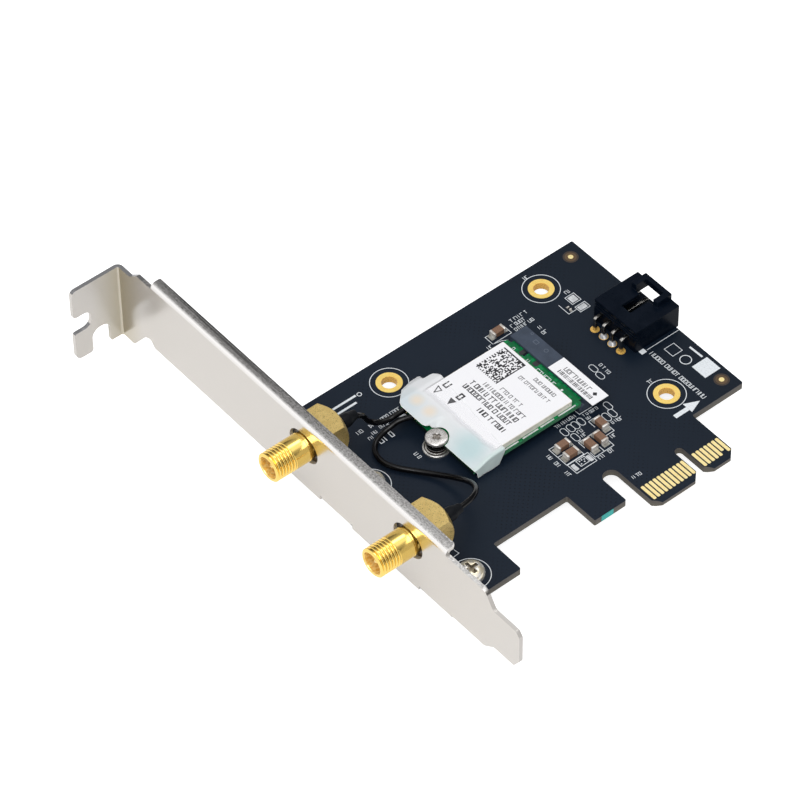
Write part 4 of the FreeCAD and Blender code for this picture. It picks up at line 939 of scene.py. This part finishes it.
def body(number, axis):
    """Square body behind the bracket, its rear corners turned off to a short cone."""
    y, z = axis
    half, start = BODY_WIDTH / 2, BRACKET_BACK - 1
    corner = half * sqrt(2) + 0.1
    reach = (-half, half)
    corners = [(x, y + v, z + w) for x in (BRACKET_BACK, BODY_END) for v in reach for w in reach]
    faces = [(0, 1, 3, 2), (4, 6, 7, 5), (0, 4, 5, 1), (2, 3, 7, 6), (0, 2, 6, 4), (1, 5, 7, 3)]
    block = linked("block", mesh_of("block", corners, faces))
    cone = [(BODY_END, 0), (BODY_END, half - 0.15), (BODY_END - BODY_CUT, corner)]
    cone += [(start, corner), (start, 0)]
    tool = linked("turning", shell("turning", [cone] * 129, axis))
    modify(block, "BOOLEAN", operation="INTERSECT", object=tool, solver="EXACT")
    bpy.context.view_layer.update()
    graph = bpy.context.evaluated_depsgraph_get()
    made = bpy.data.meshes.new_from_object(block.evaluated_get(graph))
    bpy.data.objects.remove(tool)
    bpy.data.objects.remove(block)
    smooth(made)
    obj = piece(f"antenna_jack_{number}_body", made, "turned")
    bevel(obj, 0.13, 3, 20, harden_normals=True)


# Print on the board


def silkscreen():
    """White print of the board: rings, outlines of parts, and plain strokes in place of words."""
    rng = random.Random(5)
    art = Sheets(0, INK_T)
    for x, y in MOUNT_HOLES + SCREW_HOLES:
        art.ring(x, y, 3.82, 0.15)
    for box in (
        (-18.8, 18.6, -14.4, 23.75), (-18.7, 15.75, -13.6, 18.45), (-16.85, 16.55, -14.75, 18.15),
        (-9, 51.7, -4.2, 54.05), (9.95, 49.7, 12.2, 52), (9.85, 47.15, 12.35, 48.85),
        (15.7, 26.6, 18.2, 29.1),
    ):
        art.box_line(*box, THIN)
    for route in (
        ((-18.8, 21.15), (-14.4, 21.15)),
        ((-13.25, 19.7), (-13.25, 21.5), (-8.5, 21.5), (-8.5, 16.6), (-13.25, 16.6), (-13.25, 18)),
        ((-10.9, 18.05), (-10.9, 16.6)),
        ((-8.2, 22.5), (-8.2, 24.3), (-5.6, 24.3)),
        ((-5.95, 20.95), (-5.95, 19.4), (-8.15, 19.4)),
        ((-9, 51.7), (-7.1, 51.3), (-6.05, 50.65)),
        ((7.7, 51.2), (7.7, 48.2), (9.6, 48.2)),
        ((13.05, 31.1), (21.4, 31.1)),
        ((-8.35, 28.1), (-8.3, 26.85), (-5.25, 26.8)),
        ((-38.5, 48.75), (-34.2, 50), (-33.8, 47.1), (-38.5, 48.75)),
        ((-48.9, 16.25), (-48.75, 15), (-50.5, 14.9)),
    ):
        art.line(route, THIN)
    for x, y0, y1 in STADIUMS:
        art.stadium(x, y0, y1, STADIUM_WIDTH, THIN)
    for x, y in ((-16.3, 17.7), (-15.5, 17.1), (-15.75, 17.75), (-16.4, 17), (-15.2, 17.6)):
        art.bar(x - 0.13, y - 0.13, x + 0.13, y + 0.13)
    art.shape([(-35.7, 49), (-33.9, 47.9), (-33.7, 48.6), (-35.3, 49.3)])
    art.line([(19.9, 26.1), (20, 23)], 0.45)
    art.bar(16.65, 18.25, 20.65, 22.15)
    art.bar(11.4, 30.75, 12.7, 31.85)
    art.ring(17, 24.3, 1.15, 0.18)
    art.shape([(5.3, 14), (8.7, 14), (8.7, 13.3), (11.85, 14.5), (8.7, 16), (8.7, 15), (5.3, 15)])
    art.line([(-43.6, 58.5), (-38.4, 58.5)], 0.5)
    art.line([(-43.7, 57), (-39.4, 57)], 0.5)
    art.ring(-37.4, 58.3, 0.45, 0.16)
    art.line([(-41.2, 50.1), (-41.2, 50.9), (-40.6, 50.5), (-41.2, 50.1)], THIN)
    for x0, y0, x1, y1, height in STROKE_ROWS:
        art.strokes((x0, y0), (x1, y1), height, rng)
    art.made("board_print", "white_ink", "board")


def hole_walls():
    """Gold plating down the walls of the mounting holes."""
    verts, faces, count = [], [], 48
    outer, inner = MOUNT_HOLE_R, MOUNT_HOLE_R - PLATING_T
    low, high = BOARD_LOW.z, BOARD_HIGH.z
    for x, y in MOUNT_HOLES:
        start = len(verts)
        for wall, void in zip(circle(x, y, outer, count), circle(x, y, inner, count)):
            verts += [(*wall, low), (*wall, high), (*void, high), (*void, low)]
        for i in range(count):
            a, b = start + 4 * i, start + 4 * ((i + 1) % count)
            faces += [(a + k, b + k, b + (k + 1) % 4, a + (k + 1) % 4) for k in range(4)]
    mesh = mesh_of("hole_walls", verts, faces)
    smooth(mesh, True)
    piece("hole_walls", mesh, "pad")


def fiducial_rings():
    """Bare laminate round the two alignment dots, darker where the mask covers its rim."""
    bare, rims = Sheets(0, 0.012), Sheets(0, 0.016)
    for x, y in FIDUCIALS:
        bare.disc(x, y, 1.2, 40)
        rims.ring(x, y, 1.4, 0.4)
    bare.made("fiducial_windows", "laminate", "board")
    rims.made("fiducial_rims", "laminate_rim", "board")


def bare_pads():
    """Tinned lands of parts that this card doesn't carry, and a painted mark on its edge."""
    lands = Sheets(0, 0.03)
    for x, y, wide, high in (
        (-18, 17.1, 0.9, 1.7), (-14.2, 17.1, 0.8, 1.7), (11.05, 50.85, 1.6, 1.7), (11.05, 48, 1.9, 1.2),
    ):
        lands.shape(rounded_bar(x - wide / 2, y - high / 2, x + wide / 2, y + high / 2, 0.15))
    lands.made("bare_lands", "bare_land", "board")
    mark = Sheets(BOARD_LOW.z + 0.03, 0.012)
    mark.bar(-22.2, BOARD_STEP_Y - 0.03, -19.2, BOARD_STEP_Y + 0.2)
    mark.made("painted_mark", "teal", "board")


def fingers():
    """Edge contacts with rounded ends, on both faces. The last but one is shorter."""
    xs = [-KEY_TO_FINGER - FINGER_PITCH * i for i in range(LONG_ROW)]
    xs += [KEY_TO_FINGER + FINGER_PITCH * i for i in range(SHORT_ROW)]
    for name in ("edge_contacts_top", "edge_contacts_bottom"):
        low, high = span(name)
        gold = Sheets(low.z, high.z)
        for x in xs:
            tip = FINGER_START + (0.8 if x == xs[-2] else 0)
            gold.shape(rounded_bar(x - FINGER_WIDTH / 2, tip, x + FINGER_WIDTH / 2, FINGER_END, 0.24))
        obj = gold.made(name + "_plated", "gold", "gold_plating")
        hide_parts(name)


# Label, sticker and tape


def label_print():
    """A code block, two corner marks and rows of plain strokes in place of words."""
    rng = random.Random(11)
    art = Sheets(LABEL_HIGH.z - 0.002, LABEL_HIGH.z + 0.008)
    left, low, wide, high, last = -17.75, 40.5, 0.315, 0.2625, 23
    for i in range(last + 1):
        for j in range(last + 1):
            border = i == last or j == 0 or (i == 0 and j % 2 == 0) or (j == last and i % 2 == 1)
            if border or (0 < i < last and 0 < j < last and rng.random() < 0.5):
                x, y = left + i * wide, low + j * high
                art.bar(x, y, x + wide, y + high)
    for x, start, end, height, bold in (
        (-11.2, 36.7, 30.3, 0.75, 0.16), (-13.1, 39, 30.3, 0.75, 0.16), (-17.8, 38.9, 32.7, 0.8, 0.16),
        (-19.4, 42, 30.3, 0.85, 0.17), (-21, 44, 30.1, 1, 0.2), (-22.6, 44.2, 30.4, 1, 0.2),
        (-24.6, 37.6, 30.3, 0.95, 0.225), (-25.1, 46.9, 45.6, 1.4, 0.22), (-25.2, 42.8, 41.5, 1.4, 0.26),
    ):
        art.strokes((x, start), (x, end), height, rng, bold)
    art.line([(-28.3, 46.6), (-26.6, 47.3), (-26.9, 46), (-28.3, 46.6)], 0.22)
    art.shape([(-28.4, 42.6), (-26.65, 41.8), (-26.7, 43.45)])
    art.made("label_print", "black_ink", "label_white")
    art = Sheets(STICKER_TOP - 0.002, STICKER_TOP + 0.008)
    art.strokes((-4.5, 35.4), (-4.5, 27.9), 0.9, rng, 0.17)
    at = 35.8
    while at > 26.2:
        thick = rng.choice((0.09, 0.14, 0.22))
        art.bar(-6.3, at - thick, -5.35, at)
        at -= thick + rng.choice((0.12, 0.16, 0.26))
    art.shape([(-5.1, 26.7), (-4.55, 26.15), (-4, 26.7), (-4.55, 27.25)])
    art.made("sticker_print", "black_ink", "label_white")
    module_marks(rng)


def module_marks(rng):
    """Print and bare lands of the module's board, black patches of painted shade at its key notches, and
    marks moulded into its socket.
    """
    top, edge = MODULE_HIGH.z, MODULE_HIGH.x
    art = Sheets(top, top + 0.015)
    for x, y0, y1, high in ((-8.55, 39.3, 34, 0.95), (-8.4, 46.6, 45.8, 0.85), (-8.4, 42.4, 41.6, 0.85)):
        art.strokes((x, y0), (x, y1), high, rng)
    art.disc(-8.3, 32.05, 0.28)
    art.made("module_print", "white_ink", "module_green")
    art = Sheets(top, top + 0.03)
    for start, end in ((-27.2, -23.4), (-22.3, -18.4), (-17.8, -14.4), (-13.3, -8.9)):
        art.bar(start, MODULE_LOW.y + 0.22, end, MODULE_LOW.y + 0.55)
        art.bar(start, MODULE_HIGH.y - 0.55, end, MODULE_HIGH.y - 0.22)
    art.made("module_lands", "bare_land", "module_green")
    # Black patches where the module's key notches are not cut: they stand in for the dark socket and painted
    # shade seen through them
    art = Sheets(top, top + 0.02)
    art.shape(rounded_bar(-8.35, 44, edge, 45, 0.3))
    art.shape(rounded_bar(-8.2, 39.9, edge, 41.1, 0.3))
    art.made("module_notch_shade", "black_ink", "module_green")
    art = Sheets(SOCKET_TOP - 0.002, SOCKET_TOP + 0.01)
    art.box_line(-4.6, 43.9, -3.8, 44.9, 0.14)
    art.ring(-4.2, 41.4, 0.42, 0.14, 24)
    art.ring(-3.3, 46.6, 0.25, 0.12, 24)
    art.made("socket_marks", "socket_mark", "socket_grey")


def film_height(x, y):
    """Height of the film's middle: flat on the plugs and the label, and sloping between them."""
    module_end, rise, low_edge, plugs_from = -34.85, 4.7, 2.74, 40
    held = min(1, max(0, (x - module_end) / rise))
    held = held * held * (3 - 2 * held)
    lower = low_edge + (FILM_MIDDLE - low_edge) * held
    over_plugs = min(1, max(0, y - plugs_from))
    loose = 0.035 * noise.noise(Vector((x, y, 3)) * 0.45)
    return lower + (FILM_MIDDLE - lower) * over_plugs + loose * (1 - over_plugs)


def film_rim(mesh):
    """The film's cut edge, which gathers the light."""
    rim, last, vert = [], None, next(v for v in mesh.verts if v.is_boundary)
    while not rim or vert is not rim[0]:
        rim.append(vert)
        beyond = [e.other_vert(vert) for e in vert.link_edges if e.is_boundary]
        last, vert = vert, next(v for v in beyond if v is not last)
    data, spline = wired("plug_tape_rim", "POLY", [v.co.copy() for v in rim], 0.055, 1)
    spline.use_cyclic_u = True
    piece("plug_tape_rim", data, "rim")


def film_outline(south, north, skirt):
    """The film laid flat, with a round cut-out beside the module's screw."""
    cx, cy, cut = *MODULE_SCREW, 2.5
    outline = [(-28.7, south - skirt), (-27.4, south - 0.9), (-27.3, south + 1)]
    for x, past in (
        (-24.7, -1.6), (-24.45, -0.2), (-24.6, 0.7), (-25.1, 1.5), (-25.7, 1.7),
        (-27, 1.75), (-27.4, 1.85), (-27.3, 2.95), (-27.7, 3.15), (-29.4, 3.1),
        (-32.3, 2.3), (-33.3, 1.3), (-35.1, -0.5), (-35.45, -1.4),
    ):
        outline.append((x, north + past))
    outline += [(-35.45, 41.6), (-35.2, 41), (-34.3, 40.75)]
    start, end = degrees(asin((40.35 - cy) / cut)), -degrees(acos(0.05 / cut))
    outline += arc(cx, cy, cut, start, end, 20)
    return outline + [(-34.85, south), (-34.3, south - 1.4), (-34, south - skirt)]


def tape():
    """One milky film over the plugs, folded down past the module's two long sides."""
    south, north = TAPE_LOW.y + 0.12, 49.2
    skirt = FILM_MIDDLE - TAPE_LOW.z
    mesh = bmesh.new()
    corners = [mesh.verts.new((x, y, 0)) for x, y in film_outline(south, north, skirt)]
    face = mesh.faces.new(corners)
    face.normal_update()
    cuts = [((-35.2 + 0.4 * i, 0, 0), (1, 0, 0)) for i in range(1, 27)]
    cuts += [((0, south - skirt + 0.25 * i, 0), (0, 1, 0)) for i in range(1, 112)]
    for spot, normal in cuts:
        parts = mesh.verts[:] + mesh.edges[:] + mesh.faces[:]
        bmesh.ops.bisect_plane(mesh, geom=parts, plane_co=spot, plane_no=normal)
    for vert in mesh.verts:
        x, y = vert.co.x, vert.co.y
        if y < south:
            drop = south - y
            wave = 0.05 * sin(x * 1.7) * min(1, drop / 2)
            z = TAPE_LOW.z + (film_height(x, south) - TAPE_LOW.z) * (1 - drop / skirt)
            spot = (x, south - 0.06 + wave, z)
        elif y > north:
            spot = (x, y, film_height(x, north) - (y - north) * 0.32)
        else:
            spot = (x, y, film_height(x, y))
        vert.co = Vector(spot) * MM
    film_rim(mesh)
    made = baked("plug_tape_film", mesh)
    smooth(made)
    obj = piece("plug_tape_film", made, "film")
    modify(obj, "SOLIDIFY", thickness=FILM_T * MM, offset=0)
    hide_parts("plug_tape")


camera()
cable(1, CABLE_1_ROUTE)
cable(2, CABLE_2_ROUTE)
studio()
lamp()
floor()
for look, (_, *nodes) in LOOKS.items():
    for node in nodes:
        dress(NODES[node], look)
for node, width in SOFT_EDGES.items():
    soften(NODES[node], width)
for number, axis in enumerate(JACK_AXES, 1):
    jack(number, axis)
silkscreen()
hole_walls()
fiducial_rings()
bare_pads()
fingers()
label_print()
tape()

bpy.context.scene.view_settings.view_transform = "Standard"
